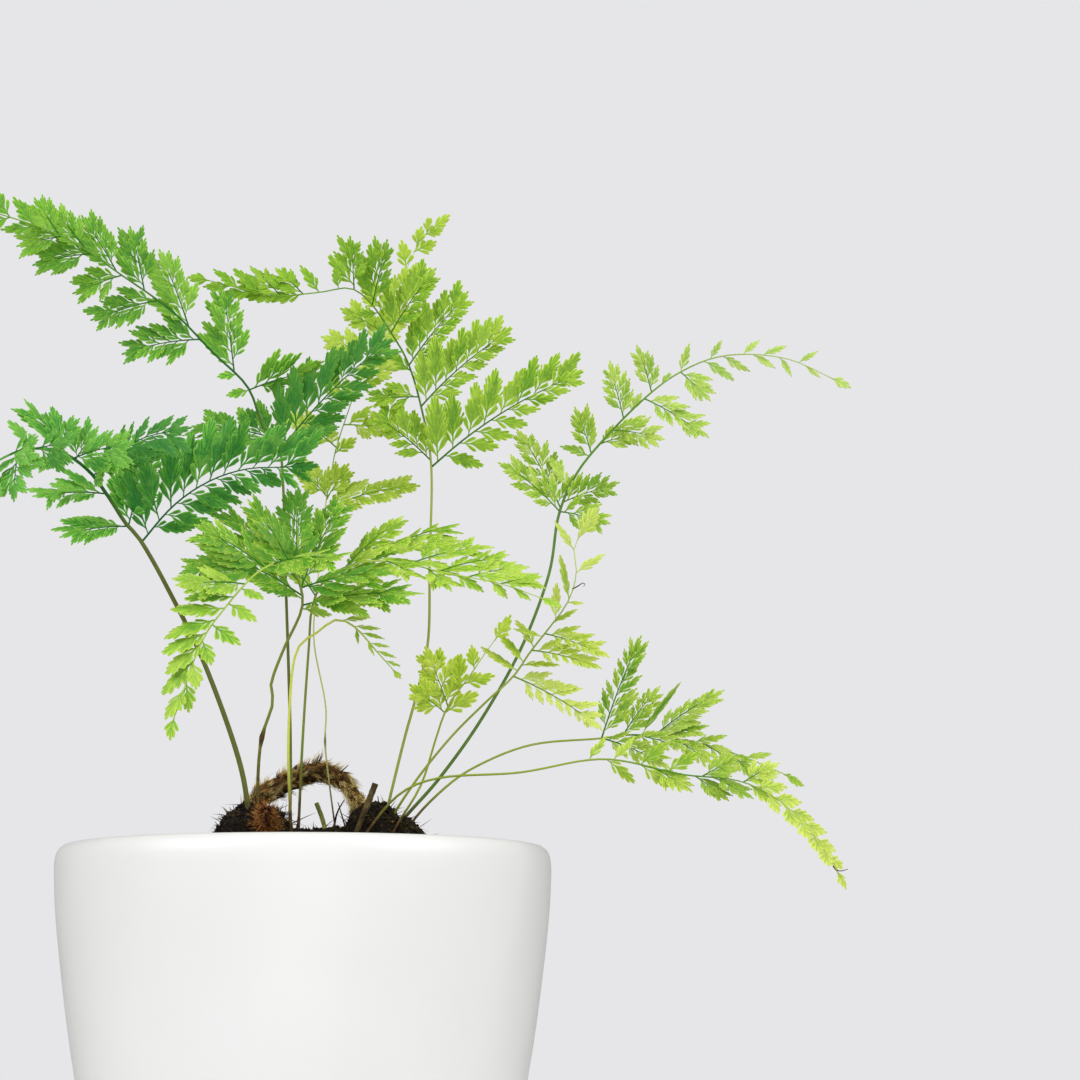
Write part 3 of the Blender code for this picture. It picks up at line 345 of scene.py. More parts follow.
        (1, 33, -54, 34), (1, 25, 62, 21, 20), (8, 20, -37, 23), (11, 19, 49, 24), (14, 20, -25, 68, 60),
        (18, 25, -22, 36), (21, 14, -1, 30), (24, 16, 48, 9), (31, 10, 1, 24), (34, 14, 38, 8),
        (43, 12, 36, -10), (48, 8, -4, 25),
    )),
)

# The pot's profile as radius and height: the outside from the foot to the lip's crest, and the inside from
# the crest to the floor
POT_OUTSIDE = (
    (48.5, 0), (50.6, 0.5), (52.3, 2.6), (54.4, 12), (57, 27), (60.2, 43), (62.9, 57), (65.4, 72),
    (67.4, 87), (68.8, 99), (69.6, 108), (69.95, 115), (POT_RADIUS, 119), (69.7, 121.6), (68.9, 123.5),
    (67.6, 124.6), (66.3, POT_HEIGHT),
)
POT_INSIDE = (
    (66.3, POT_HEIGHT), (65.3, 124.5), (64.9, 122.6), (64.8, 118), (62.6, 87), (58, 57), (52.4, 27),
    (48.5, 5),
)
POT_INSIDE_TOP = 64.8
POT_SIDES = 144
# Room between the soil and the pot, and the soil's side as radius and height down to its bottom
WALL_GAP = 0.3
SOIL_WALL = ((64.0, 112), (62.3, 87), (57.7, 57), (52.1, 27), (48.2, 5.3))

# Soil: sides and rings of its surface, how much closer its inner rings lie, and how far its edge sinks
SOIL_SIDES = 150
SOIL_RINGS = 80
RING_CLOSENESS = 1.15
EDGE_SINKS = 0.6
# Middle of its mound, its heaps as middle x and y, half-widths and height, and how steep they are
SOIL_MIDDLE = 4.0
HEAP_STEEPNESS = 0.4
HEAPS = (
    (-14, 1, 12.5, 17, 17.5), (20, 1, 9.5, 17, 18.5), (27, -1, 9.5, 13, 13.5),
    (4, 1, 27, 17, 10.5), (2, 0, 58, 52, 3.5),
)
# Clods: how many to the millimetre, their height on flat soil and how much more on the heaps, which they
# lower a little, and how high a heap is where they are at their full height
CLOD_SCALE = 0.16
CLOD_HEIGHT = 0.7
CLOD_ON_HEAP = 0.9
HEAP_LOWERED = 0.4
HEAPED = 3.0
# Where crumbs, moss and roots lie: middle x and y, spread along X and Y, then a share; roots have their
# number and their least and greatest length instead
CRUMB_SPOTS = (
    (-14, 0, 8, 9, 5), (20, 0, 7, 9, 5), (28, -2, 6, 8, 3), (4, 0, 12, 9, 3), (0, 0, 34, 32, 6),
)
MOSS_SPOTS = ((31, -7, 2.5, 3, 5), (26, -9, 3, 3, 1), (3, 2, 22, 20, 1))
ROOT_SPOTS = (
    (-14, 0, 12.5, 15, 800, 0.9, 3.0), (20, 0, 9.5, 14, 520, 1.0, 3.0), (28, -1, 8.5, 11, 260, 1.0, 2.6),
    (4, 0, 16, 14, 260, 1.2, 3.6), (0, 0, 40, 38, 240, 1.5, 5.0),
)
ROOT_RADIUS = 0.22

# Middle line and radius of the rhizome's arch and of its tip, and their hairs
ARCH = (
    (-16.5, 12, 127), (-15.5, 12, 135.5), (-12, 12, 140), (-7.5, 12, 142.5), (-2.5, 12, 145), (3, 12, 147),
    (8, 12, 146), (12.5, 12, 143), (15, 12, 139), (16, 12, 133.5), (16, 12, 126.5),
)
ARCH_RADIUS = 3.0
TUFTS = 420
TUFT_HAIRS = 15
TIP = ((-10.5, -7, 124), (-10.5, -11.5, 129), (-10.5, -16, 132), (-10.5, -20, 133.5))
TIP_RADIUS = 3.2
TIP_HAIRS = 1100
# Cut stubs of stalks: node, middle line, radius, and colours from dark to light
STUBS = (
    ("stub_green", ((7, -4, 123.5), (5.5, -4, 131.5), (3.5, -4, 137)), 0.65,
     ((58, 66, 22), (112, 118, 48), (164, 160, 82))),
    ("stub_brown", ((13.5, -11, 124), (15.5, -11, 130), (20, -11, 142)), 0.9,
     ((38, 30, 16), (84, 70, 36), (128, 112, 62))),
)
# Thin wiry roots: their points, and their radius at the foot and at the end
WIRES = (
    (((8.6, 6, 131), (9.5, 5, 135), (11.5, 4, 138.5)), 0.35, 0.15),
    (((12.5, 2, 128), (11.0, 1, 133), (9.6, 0, 137.5)), 0.30, 0.12),
    (((16, -6, 132), (18.5, -7, 137), (19.5, -7, 141)), 0.40, 0.15),
    (((23, -4, 131), (21.5, -4, 135), (20.8, -4, 139)), 0.28, 0.12),
    (((3, 10.5, 148), (4.0, 9.5, 151), (4.4, 9.5, 151.8)), 0.26, 0.12),
    (((10, 11, 146.5), (11.6, 10, 147.8), (12.6, 9.5, 148.8)), 0.26, 0.10),
)

# What is seen behind and the light from all round. Then the softboxes: name, bearing (0 is the front, and
# plus is to the right), height in degrees, distance and size in metres, and power
BACKDROP = (230, 230, 232)
AMBIENT = 0.26
LIGHTS = (
    ("key", -56, 30, 1.5, 1.0, 12.5),
    ("fill", 56, 30, 1.5, 1.0, 12.0),
    ("front", 0, 4, 1.7, 1.3, 6.5),
    ("top", 0, 80, 1.2, 0.9, 2.0),
)
# The place that they face, in metres
LIT_PLACE = (0.02, 0.0, 0.18)
# The floor: its height, the radii of its rings, and between which radii it fades
FLOOR = -0.05
FLOOR_RINGS = (0.001, 90, 180, 300, 450, 700)
FLOOR_FADES = (180, 600)

# The camera's place in millimetres, how far it looks up and to the right in degrees, and its lens
EYE = (-0.25, -1148.0, 59.0)
EYE_PITCH = 7.62
EYE_YAW = 3.349
LENS = 135.0

# Leaf colours of each frond: on a vein, on the blade, at its edge, the stalk, and the blade at its tip
GREENS = {
    "frond_upper_left": ((30, 104, 36), (116, 178, 48), (156, 200, 72), (96, 104, 46), (132, 182, 50)),
    "frond_left": ((16, 98, 36), (100, 172, 50), (146, 200, 84), (96, 100, 44), (112, 174, 76)),
    "frond_front": ((50, 118, 32), (126, 180, 44), (194, 216, 92), (128, 136, 52), (172, 202, 74)),
    "frond_centre_right": ((70, 134, 30), (156, 194, 48), (200, 220, 100), (122, 136, 52), (178, 208, 84)),
    "frond_back_pale": ((104, 152, 32), (164, 192, 54), (198, 214, 106), (186, 190, 110), (170, 200, 60)),
    "frond_small_droop": ((92, 144, 38), (168, 192, 66), (206, 218, 118), (206, 212, 88), (160, 190, 66)),
    "frond_tall": ((56, 112, 24), (134, 176, 36), (178, 204, 76), (146, 158, 66), (118, 170, 36)),
    "frond_low_right_front": (
        (76, 132, 32), (166, 194, 54), (206, 220, 112), (140, 158, 54), (220, 228, 116),
    ),
    "frond_right_mid": ((112, 150, 34), (180, 202, 62), (216, 226, 132), (144, 160, 58), (190, 206, 108)),
    "frond_small": ((98, 140, 26), (162, 188, 42), (204, 218, 100), (150, 164, 60), (166, 192, 54)),
    "frond_right_arch": ((84, 138, 34), (158, 192, 58), (200, 216, 114), (78, 112, 44), (200, 216, 136)),
    "frond_low_right_back": ((54, 120, 32), (152, 188, 50), (204, 218, 112), (136, 154, 54), (164, 194, 64)),
}
UNDERSIDE = (172, 198, 80)
# Leaves glow a little in their own colour: a painted glow that stands in for the light that comes through
# them and lightens their shaded parts
LEAF_GLOW = 0.20


def grown(rule, length):
    """What a rule makes of a pinna's length: a start, and what each millimetre adds."""
    return rule[0] + rule[1] * length


def unit(v):
    return v / np.linalg.norm(v)


def square(v, way):
    """The direction of the part of v that is square to a way."""
    return unit(v - way * (v @ way))


def axes_of(along, facing):
    """Directions along, to the left and out of the upper side, square to each other."""
    facing = square(facing, along)
    return along, np.cross(facing, along), facing


def smooth(points, per_span):
    """Points along a smooth curve through the given ones."""
    p = np.asarray(points, float)
    p = np.vstack([2 * p[0] - p[1], p, 2 * p[-1] - p[-2]])
    t = np.linspace(0, 1, per_span, endpoint=False)[:, None]
    rows = []
    for a, b, c, d in zip(p, p[1:], p[2:], p[3:]):
        quadratic = (2 * a - 5 * b + 4 * c - d) * t**2
        cubic = (3 * b - a - 3 * c + d) * t**3
        rows.append(0.5 * (2 * b + (c - a) * t + quadratic + cubic))
    return np.vstack(rows + [p[-2:-1]])


class Axis:
    """A stalk's centre line, asked for by the length along it."""

    def __init__(self, points, per_span=10):
        self.points = smooth(points, per_span)
        steps = np.linalg.norm(np.diff(self.points, axis=0), axis=1)
        self.run = np.append(0, np.cumsum(steps))
        self.length = self.run[-1]
        self.knots = self.run[::per_span]

    def at(self, s):
        return np.array([np.interp(s, self.run, self.points[:, k]) for k in range(3)])

    def tangent(self, s):
        return unit(self.at(min(s + 1, self.length)) - self.at(max(s - 1, 0)))


class Branch:
    """A pinna's midrib: a chord of the given length, bowed upwards by its own share or by the usual one."""

    def __init__(self, origin, chord, facing, length, arch):
        self.origin, self.chord, self.facing, self.length = origin, chord, facing, length
        self.bow = -(arch or grown(BOW, length)) * (UP - chord * (UP @ chord))

    def at(self, t):
        return self.origin + self.length * (t * self.chord - self.bow * t * (1 - t) / 2)

    def axes(self, t):
        """Along, left and out of the upper side at a share t of the length."""
        return axes_of(unit(self.chord - self.bow * (1 - 2 * t) / 2), self.facing)


def facing_at(frond, share):
    node, tip = (unit(np.array(f, float)) for f in (frond.face_node, frond.face_tip))
    return node * (1 - share) + tip * share


def branch_of(frond, axis, node, pinna):
    """The midrib of a pinna that leaves the rachis at its place."""
    turn, lift, roll = np.radians((pinna.turn, pinna.lift, pinna.roll))
    share = pinna.place / (axis.length - node)
    place = node + pinna.place
    own = facing_at(frond, share)
    along, left, facing = axes_of(axis.tangent(place), own)
    flat = np.cos(turn) * along - np.sin(turn) * left
    chord = np.cos(lift) * flat + np.sin(lift) * facing
    own = square(own, chord)
    own = np.cos(roll) * own + np.sin(roll) * np.cross(chord, own)
    return Branch(axis.at(place), chord, own, pinna.length, pinna.arch)


class Shape:
    """Points in millimetres, triangles, and numbers on the points that the materials read."""

    def __init__(self, *marks):
        self.points, self.faces, self.count = [], [], 0
        self.marks = {mark: [] for mark in marks}
        self.usual = {}

    def add(self, points, faces, **values):
        """Adds points, and faces between them. A mark without a value has its usual one, or 0."""
        points = np.asarray(points, float)
        self.points.append(points)
        self.faces.append(np.asarray(faces, int) + self.count)
        for mark, rows in self.marks.items():
            value = values.get(mark, self.usual.get(mark, 0.0))
            rows.append(np.broadcast_to(np.asarray(value, float), len(points)))
        self.count += len(points)

    def build(self, name, material, smooth_angle=None):
        mesh = bpy.data.meshes.new(name)
        mesh.from_pydata(np.vstack(self.points) * MM, [], np.vstack(self.faces))
        for mark, rows in self.marks.items():
            attribute = mesh.attributes.new(mark, "FLOAT", "POINT")
            attribute.data.foreach_set("value", np.concatenate(rows).astype(np.float32))
        mesh.shade_smooth()
        if smooth_angle:
            mesh.set_sharp_from_angle(angle=np.radians(smooth_angle))
        mesh.materials.append(material)
        return place_object(name, mesh)


def place_object(name, data):
    made = bpy.data.objects.new(name, data)
    bpy.context.scene.collection.objects.link(made)
    return made


def circle(radius, height, sides):
    """A ring of points round the upright axis."""
    turn = 2 * np.pi * np.arange(sides) / sides
    return np.stack([radius * np.cos(turn), radius * np.sin(turn), np.full(sides, height)], 1)


def bands(rings, sides):
    """Faces between rings of points."""
    k = np.arange(sides)
    step = (k + 1) % sides
    rows = []
    for start in range(0, (rings - 1) * sides, sides):
        a, b = start + k, start + step
        rows += [np.stack([a, b, b + sides], 1), np.stack([a, b + sides, a + sides], 1)]
    return np.vstack(rows)


def tube_faces(rings, sides):
    """Faces between rings of points, closed by a middle point at each end."""
    k = np.arange(sides)
    step = (k + 1) % sides
    first = np.full(sides, rings * sides)
    end = (rings - 1) * sides
    caps = [np.stack([first, step, k], 1), np.stack([first + 1, end + k, end + step], 1)]
    return np.vstack([bands(rings, sides)] + caps)


def tube(axis, places, radii, sides):
    """Points and faces of a closed round stalk with a ring at each place."""
    turn = 2 * np.pi * np.arange(sides) / sides
    across = np.array((0.3, 0.9, 0.2))
    rings = []
    for s, radius in zip(places, radii):
        along = axis.tangent(s)
        across = square(across, along)
        other = np.cross(along, across)
        rings.append(axis.at(s) + radius * (np.outer(np.cos(turn), across) + np.outer(np.sin(turn), other)))
    points = np.vstack(rings + [axis.at(places[0])[None], axis.at(places[-1])[None]])
    return points, tube_faces(len(rings), sides)


# Leaflets

Template = namedtuple("Template", "size points vein faces rim")


def wedge(length, width, teeth, rng):
    """Outline and veins of a blade that widens from its root at the origin and is toothed round its end."""
    share = (2 * np.arange(teeth) + 1) / teeth - 1
    reach = length * (1 - TOOTH_FALL * np.abs(share) ** 1.5) * (1 + TOOTH_VARIES * rng.standard_normal(teeth))
    tips = np.stack([reach, 0.5 * width * share * (1 + TOOTH_OUTER * (np.abs(share) > OUTER_FROM))], 1)
    lean = np.radians(TOOTH_SPREAD) * share
    along = np.stack([np.cos(lean), np.sin(lean)], 1)
    across = np.stack([-np.sin(lean), np.cos(lean)], 1)
    half = 0.5 * width / teeth
    least, more, grows = CUT_DEPTH
    depth = least + more * rng.random(teeth) + grows * length
    low, middle, high = (np.array((at * length, wide * width)) for at, wide in BLADE_SIDE)
    outline = [(0, -ROOT_HALF), low * (1, -1), middle * (1, -1), high * (1, -1)]
    veins = []
    hub = np.array([HUB * length, 0.0])
    for j in range(teeth):
        shoulder = tips[j] - SHOULDER * half * along[j]
        outline += [
            shoulder - TOOTH_FILL * half * across[j], tips[j] - BLUNT * half * across[j],
            tips[j] + BLUNT * half * across[j], shoulder + TOOTH_FILL * half * across[j],
        ]
        if j < teeth - 1:
            between = (tips[j] + tips[j + 1]) / 2
            outline.append(between - depth[j] * unit(along[j] + along[j + 1]))
        veins.append([hub, tips[j] - VEIN_STOP * half * along[j]])
    outline += [high, middle, low, (0, ROOT_HALF)]
    veins.append([np.zeros(2), hub])
    return np.array(outline, float), veins


def turned(part, root, angle):
    """An outline and its veins turned about the origin and moved up the leaflet's axis."""
    c, s = np.cos(angle), np.sin(angle)
    turn = np.array([[c, s], [-s, c]])
    outline, veins = part
    return outline @ turn + (root, 0), [np.array(vein) @ turn + (root, 0) for vein in veins]


def distance(points, starts, ends):
    """The distance from each point to the nearest of some straight pieces."""
    d = ends - starts
    t = np.einsum("ijk,jk->ij", points[:, None] - starts, d) / np.maximum((d * d).sum(1), 1e-12)
    near = starts + np.clip(t, 0, 1)[..., None] * d
    return np.linalg.norm(points[:, None] - near, axis=2).min(axis=1)


def tooth_count(width):
    return int(np.clip(round(width / TOOTH_WIDTH), 1, 7))


def lobe_parts(size, pairs, rng):
    """Lobes along the midrib below the end blade, from the foot up, with their veins."""
    parts = []
    for root, angle, full, wide in pairs:
        for side, shift in ((1, 0.0), (-1, LOBE_SHIFT)):
            length = size * full * (1 + LOBE_VARIES * rng.standard_normal())
            turn = side * np.radians(angle + LOBE_TURNS * rng.standard_normal())
            width = wide * length
            parts.append(turned(wedge(length, width, tooth_count(width), rng), (root + shift) * size, turn))
    return parts


def template(size, rng):
    """A flat leaflet of this length: toothed lobes on a thin midrib, and a toothed blade at its end."""
    kind = KINDS[int(np.searchsorted(KIND_FROM, size))]
    start = kind.start * size
    end = size - start
    width = end * kind.wide * (1 + END_VARIES * rng.uniform(-1, 1))
    parts = [turned(wedge(end, width, max(2, tooth_count(width)), rng), start, 0.0)]
    if kind.pairs:
        top = start + HUB * end
        strip = [(0, -ROOT_HALF), (top, -WING * size), (top, WING * size), (0, ROOT_HALF)]
        parts.append((np.array(strip), [np.array([(0, 0), (start, 0)], float)]))
    parts += lobe_parts(size, kind.pairs, rng)
    corners, edges, faces = [], [], []
    for outline, veins in parts:
        faces.append(list(range(len(corners), len(corners) + len(outline))))
        corners += list(outline)
        for vein in veins:
            edges.append((len(corners), len(corners) + 1))
            corners += list(vein)
    flat = delaunay_2d_cdt([Vector(p) for p in corners], edges, faces, 1, 1e-3)
    used, triangles = np.unique(np.array(flat[2]), return_inverse=True)
    points = np.array([tuple(flat[0][k]) for k in used])
    triangles = triangles.reshape(-1, 3)
    directed = {(int(f[i]), int(f[(i + 1) % 3])) for f in triangles for i in range(3)}
    rim = np.array(sorted(e for e in directed if (e[1], e[0]) not in directed))
    pieces = np.array([vein for _, veins in parts for vein in veins])
    to_vein = distance(points, pieces[:, 0], pieces[:, 1])
    to_edge = distance(points, points[rim[:, 0]], points[rim[:, 1]])
    to_midrib = distance(points, np.zeros((1, 2)), np.array([[start + 0.2 * end, 0.0]]))
    vein = np.minimum(to_vein / (to_vein + to_edge + 1e-4), to_midrib / MIDRIB_SHADE)
    return Template(size, points, vein, triangles, rim)


def templates(rng):
    return [[template(size, rng) for _ in range(VARIANTS)] for size in TEMPLATE_SIZES]


def put_leaflet(shape, origin, axes, length, rng, tone=0.0, slim=1.0):
    """A leaflet with its root at the origin; its axes run along, across and out of its upper side."""
    along, across, facing = axes
    row = int(np.argmin([abs(np.log(length / size)) for size in TEMPLATE_SIZES]))
    flat = LEAFLETS[row][rng.integers(VARIANTS)]
    scale = length / flat.size
    x, y = flat.points.T * scale * np.array([[1.0], [slim]])
    bend, cup, sway = rng.normal(LEAF_FORM, LEAF_VARIES)
    z = -bend * x**2 / length - cup * np.abs(y) - RIDGE * (1 - flat.vein)
    middle = origin + np.outer(x, along) + np.outer(y + sway * x**2 / length, across) + np.outer(z, facing)
    offset = np.outer(BLADE_ON_VEIN + (BLADE_AT_EDGE - BLADE_ON_VEIN) * flat.vein, facing)
    n = len(x)
    order = -1 if np.cross(along, across) @ facing < 0 else 1
    upper, rim = flat.faces[:, ::order], flat.rim[:, ::order]
    a, b = rim.T
    sides = [np.stack([b, a, a + n], 1), np.stack([b, a + n, b + n], 1)]
    shape.add(
        np.vstack([middle + offset, middle - offset]), np.vstack([upper, upper[:, ::-1] + n] + sides),
        vein=np.tile(flat.vein, 2), tone=tone + LEAFLET_TONE * rng.standard_normal(),
        under=np.repeat((0.0, 1.0), n),
    )


Plan = namedtuple("Plan", "side root length angle lift twist")


def leaflet_plan(length, end, upper, habit, rng):
    """The leaflets on both sides of a pinna, base to tip, larger on the side towards the frond's tip."""
    first = grown(LEAFLET_FIRST, length)
    last = 1 - END_CLEAR * end / length
    step = habit.close * grown(LEAFLET_STEP, length)
    count = max(2, int(round(1 + (last - first) * length / step)))
    steep = min(LEAFLET_STEEPEST, grown(LEAFLET_ANGLE, length)) * habit.spread
    lowest = habit.full * grown(LEAFLET_SIZE, length)
    plan = []
    for side, shift, uneven in ((upper, 0.0, habit.uneven), (-upper, OTHER_SIDE, -habit.uneven)):
        for i in range(count):
            root = first + (last - first) * (i + shift) / (count - 1 + OTHER_SIDE)
            size = lowest * (1 - LEAFLET_SHRINKS * root**1.2) * (1 + uneven)
            angle = steep + (habit.splay - steep) * root**0.8
            more, aside, lift, twist = PLAN_VARIES * rng.standard_normal(4)
            plan.append(Plan(side, root, size * (1 + more), angle + aside, lift, twist))
    return plan


def put_pinna(shape, branch, upper, habit, rng, tone):
    """A pinna: its midrib with a leaflet at each place of the plan and one at its tip."""
    end = min(END_MOST * branch.length, grown(END_SIZE, branch.length))
    line = Axis([branch.at(t) for t in np.linspace(0, 1 - END_BARE * end / branch.length, 5)], 4)
    places = np.linspace(0, line.length, max(4, int(branch.length / RIB_STEP)))
    radii = grown(RIB_RADIUS, branch.length) * (1 - 0.5 * places / line.length)
    shape.add(*tube(line, places, radii, RIB_SIDES), tone=tone, rib=1.0)
    for leaf in leaflet_plan(branch.length, end, upper, habit, rng):
        rib, left, facing = branch.axes(leaf.root)
        angle, lift, twist = np.radians((leaf.angle, leaf.lift, leaf.twist))
        along = np.cos(angle) * rib - np.sin(angle) * leaf.side * left
        across = np.cross(facing, along)
        along = np.cos(lift) * along + np.sin(lift) * facing
        across = np.cos(twist) * across + np.sin(twist) * facing
        axes = (along, across, unit(np.cross(along, across)))
        put_leaflet(shape, branch.at(leaf.root), axes, leaf.length, rng, tone, habit.slim)
    root = 1 - end / branch.length
    put_leaflet(shape, branch.at(root), branch.axes(root), end, rng, tone, habit.slim)


def put_stalk(shape, frond, axis, node):
    """Stipe and rachis: dark at the foot, then the stalk's colour, and the midribs' green above the node."""
    places = np.linspace(0.0, axis.length, int(axis.length / STALK_STEP))
    share = places / axis.length
    knot = KNOT * np.exp(-((places - KNOTS.get(frond.name, -9)) / KNOT_REACH) ** 2)
    radii = frond.width / 2 * np.interp(places, (0, node, axis.length), STALK_TAPER) * (1 + knot)
    bare = np.clip(1 - (places - node) / GREENING, 0, 1)
    foot = np.interp(places, (DARK_FROM, DARK_FEET.get(frond.name, DARK_TO)), (0.9, 0))
    pale = 0.6 * np.clip((share - PALE_FROM) / 0.2, 0, 1)
    if frond.name in PALE_RACHIS:
        pale = np.maximum(pale, 0.7 * (1 - bare))
    marks = {"stalk": bare + np.clip(foot + knot, 0, 1), "reach": share, "rib": 1 - pale}
    for mark, value in marks.items():
        marks[mark] = np.append(np.repeat(value, STALK_SIDES), (value[0], value[-1]))
    shape.add(*tube(axis, places, radii, STALK_SIDES), vein=1.0, **marks)


def put_curl(shape, place, steps):
    """A thin withered end that curls away from where it grows."""
    line = Axis([np.array(place) + step for step in steps])
    radii = np.linspace(CURL_RADIUS, 0.4 * CURL_RADIUS, 12)
    shape.add(*tube(line, np.linspace(0, line.length, 12), radii, RIB_SIDES), rib=1.0, stalk=2.0)


def frond_piece(frond, index, material):
    """A frond in one piece: stalk and rachis, pinnae from base to tip, and the leaflet at its end."""
    rng = np.random.default_rng(100 + index)
    shape = Shape("vein", "tone", "under", "rib", "stalk", "reach")
    axis = Axis(frond.stipe + frond.rachis)
    node = axis.knots[len(frond.stipe) - 1]
    habit = HABITS.get(frond.name, USUAL)
    put_stalk(shape, frond, axis, node)
    if frond.name in CURLS:
        put_curl(shape, *CURLS[frond.name])
    for pinna in (Pinna(*row) for row in frond.pinnae):
        branch = branch_of(frond, axis, node, pinna)
        tone = PINNA_TONE * rng.standard_normal() + SHADES.get(frond.name, {}).get(pinna[:2], 0.0)
        shape.usual["reach"] = (node + pinna.place) / axis.length
        lone = np.interp(pinna.place, (0, axis.length - node), habit.lone)
        if pinna[:2] in SINGLES.get(frond.name, ()):
            put_leaflet(shape, branch.origin, branch.axes(0.0), branch.length, rng, tone, SINGLE_WIDE)
        elif branch.length < habit.single:
            put_leaflet(shape, branch.origin, branch.axes(0.0), branch.length, rng, tone, lone)
        else:
            put_pinna(shape, branch, -1 if pinna.turn > 0 else 1, habit, rng, tone)
    shape.usual["reach"] = 1.0
    axes = axes_of(axis.tangent(axis.length), facing_at(frond, 1.0))
    put_leaflet(shape, axis.at(axis.length - END_SEAT), axes, frond.tip + END_SEAT, rng)
    return shape.build(frond.name + "_leaves", material)


# Materials

def linear(red, green, blue):
    """A display colour from 0 to 255 as the linear colour that a shader takes."""
    return tuple(((c / 255 + 0.055) / 1.055) ** 2.4 for c in (red, green, blue)) + (1.0,)


def shade(first, second, share):
    """A colour between two linear ones."""
    return tuple(a + (b - a) * share for a, b in zip(first, second))


class Nodes:
    """A short way to write the node tree of a material or world."""

    def __init__(self, owner):
        owner.use_nodes = True
        self.owner = owner
        self.tree = owner.node_tree
        self.shader = self.tree.nodes.get("Principled BSDF")

    def feed(self, socket, value):
        """Links an input to another node's output, or gives it a number or colour."""
        if isinstance(value, bpy.types.NodeSocket):
            self.tree.links.new(value, socket)
        else:
            socket.default_value = value

    def node(self, kind, **inputs):
        made = self.tree.nodes.new(kind)
        for key, value in inputs.items():
            self.feed(made.inputs[key.replace("_", " ")], value)
        return made

    def mark(self, name):
        made = self.tree.nodes.new("ShaderNodeAttribute")
        made.attribute_name = name
        return made.outputs["Fac"]

    def noise(self, scale, detail=4.0, rough=0.55):
        place = self.tree.nodes.new("ShaderNodeTexCoord").outputs["Object"]
        made = self.node("ShaderNodeTexNoise", Vector=place, Scale=scale, Detail=detail, Roughness=rough)
        return made.outputs["Fac"]

    def ramp(self, factor, *stops):
        made = self.node("ShaderNodeValToRGB", Fac=factor)
        while len(made.color_ramp.elements) < len(stops):
            made.color_ramp.elements.new(0.5)
        for element, (at, colour) in zip(made.color_ramp.elements, stops):
            element.position = at
            element.color = colour
        return made.outputs["Color"]

    def mix(self, factor, first, second):
        made = self.tree.nodes.new("ShaderNodeMix")
        made.data_type = "RGBA"
        for key, value in (("Factor", factor), ("A", first), ("B", second)):
            self.feed(next(s for s in made.inputs if s.name == key and s.enabled), value)
        return next(s for s in made.outputs if s.enabled)

    def tint(self, base, mark, low, high, most, share, colour):
        """The base, or as a mark goes from low to high up to so much of its mix with a colour."""
        return self.mix(self.spread(mark, low, high, 0.0, most), base, self.mix(share, base, colour))

    def maths(self, operation, first, second):
        made = self.tree.nodes.new("ShaderNodeMath")
        made.operation = operation
        self.feed(made.inputs[0], first)
        self.feed(made.inputs[1], second)
        return made.outputs[0]

    def spread(self, value, low, high, to_low=0.0, to_high=1.0):
        ends = {"From_Min": low, "From_Max": high, "To_Min": to_low, "To_Max": to_high}
        return self.node("ShaderNodeMapRange", Value=value, **ends).outputs["Result"]

    def bump(self, height, strength, distance):
        made = self.node("ShaderNodeBump", Strength=strength, Distance=distance, Height=height)
        self.feed(self.shader.inputs["Normal"], made.outputs["Normal"])

    def surface(self, colour, roughness, specular=0.5):
        self.feed(self.shader.inputs["Base Color"], colour)
        self.feed(self.shader.inputs["Roughness"], roughness)
        self.shader.inputs["Specular IOR Level"].default_value = specular
        return self.owner

    def blend(self, factor, first, second, output):
        """Gives the output a blend of two shaders."""
        made = self.tree.nodes.new("ShaderNodeMixShader")
        for socket, value in zip(made.inputs, (factor, first.outputs[0], second.outputs[0])):
            self.feed(socket, value)
        self.feed(self.tree.nodes[output].inputs["Surface"], made.outputs[0])


def new_material(name):
    return Nodes(bpy.data.materials.new(name))


def leaf_material(name, greens):
    """A leaf: dark along the veins, lighter at its edge, with its own tone for each leaflet."""
    n = new_material(name)
    vein, blade, edge, stalk, tip = (linear(*colour) for colour in greens)
    across = n.maths("ADD", n.mark("vein"), n.spread(n.noise(900.0), 0.3, 0.7, -0.10, 0.10))
    green = n.ramp(across, (0.0, shade(vein, blade, 0.15)), (0.34, blade), (0.62, blade), (0.95, edge))
    patch = n.noise(170.0, 2.0)
    green = n.tint(green, patch, 0.46, 0.30, 0.40, 0.6, vein)
    green = n.tint(green, patch, 0.54, 0.72, 0.55, 0.7, edge)
    tone = n.mark("tone")
    green = n.tint(green, tone, 0.0, 1.4, 0.70, 0.6, edge)
    green = n.tint(green, tone, 0.0, -1.5, 0.85, 0.75, vein)
    green = n.tint(green, n.mark("reach"), 0.62, 0.95, 0.85, n.spread(across, 0.0, 1.0, 0.25, 0.9), tip)
    green = n.mix(n.maths("MULTIPLY", n.mark("under"), 0.30), green, linear(*UNDERSIDE))
    rib = n.mix(n.spread(n.mark("stalk"), 0.0, 1.0), shade(vein, (0.0, 0.0, 0.0, 1.0), 0.15), stalk)
    rib = n.tint(rib, n.noise(260.0), 0.35, 0.7, 0.3, 0.4, blade)
    withered = n.mix(n.spread(n.noise(500.0), 0.35, 0.65), linear(44, 28, 12), linear(104, 80, 38))
    rib = n.mix(n.spread(n.mark("stalk"), 1.0, 1.8), rib, withered)
    colour = n.mix(n.mark("rib"), green, rib)
    n.bump(n.noise(1400.0), 0.25, 0.0002)
    # Painted glow: the leaf colour is also given out as light, for light through the leaf and to lighten its
    # shade
    n.feed(n.shader.inputs["Emission Color"], colour)
    n.shader.inputs["Emission Strength"].default_value = LEAF_GLOW
    return n.surface(colour, 0.55, 0.22)


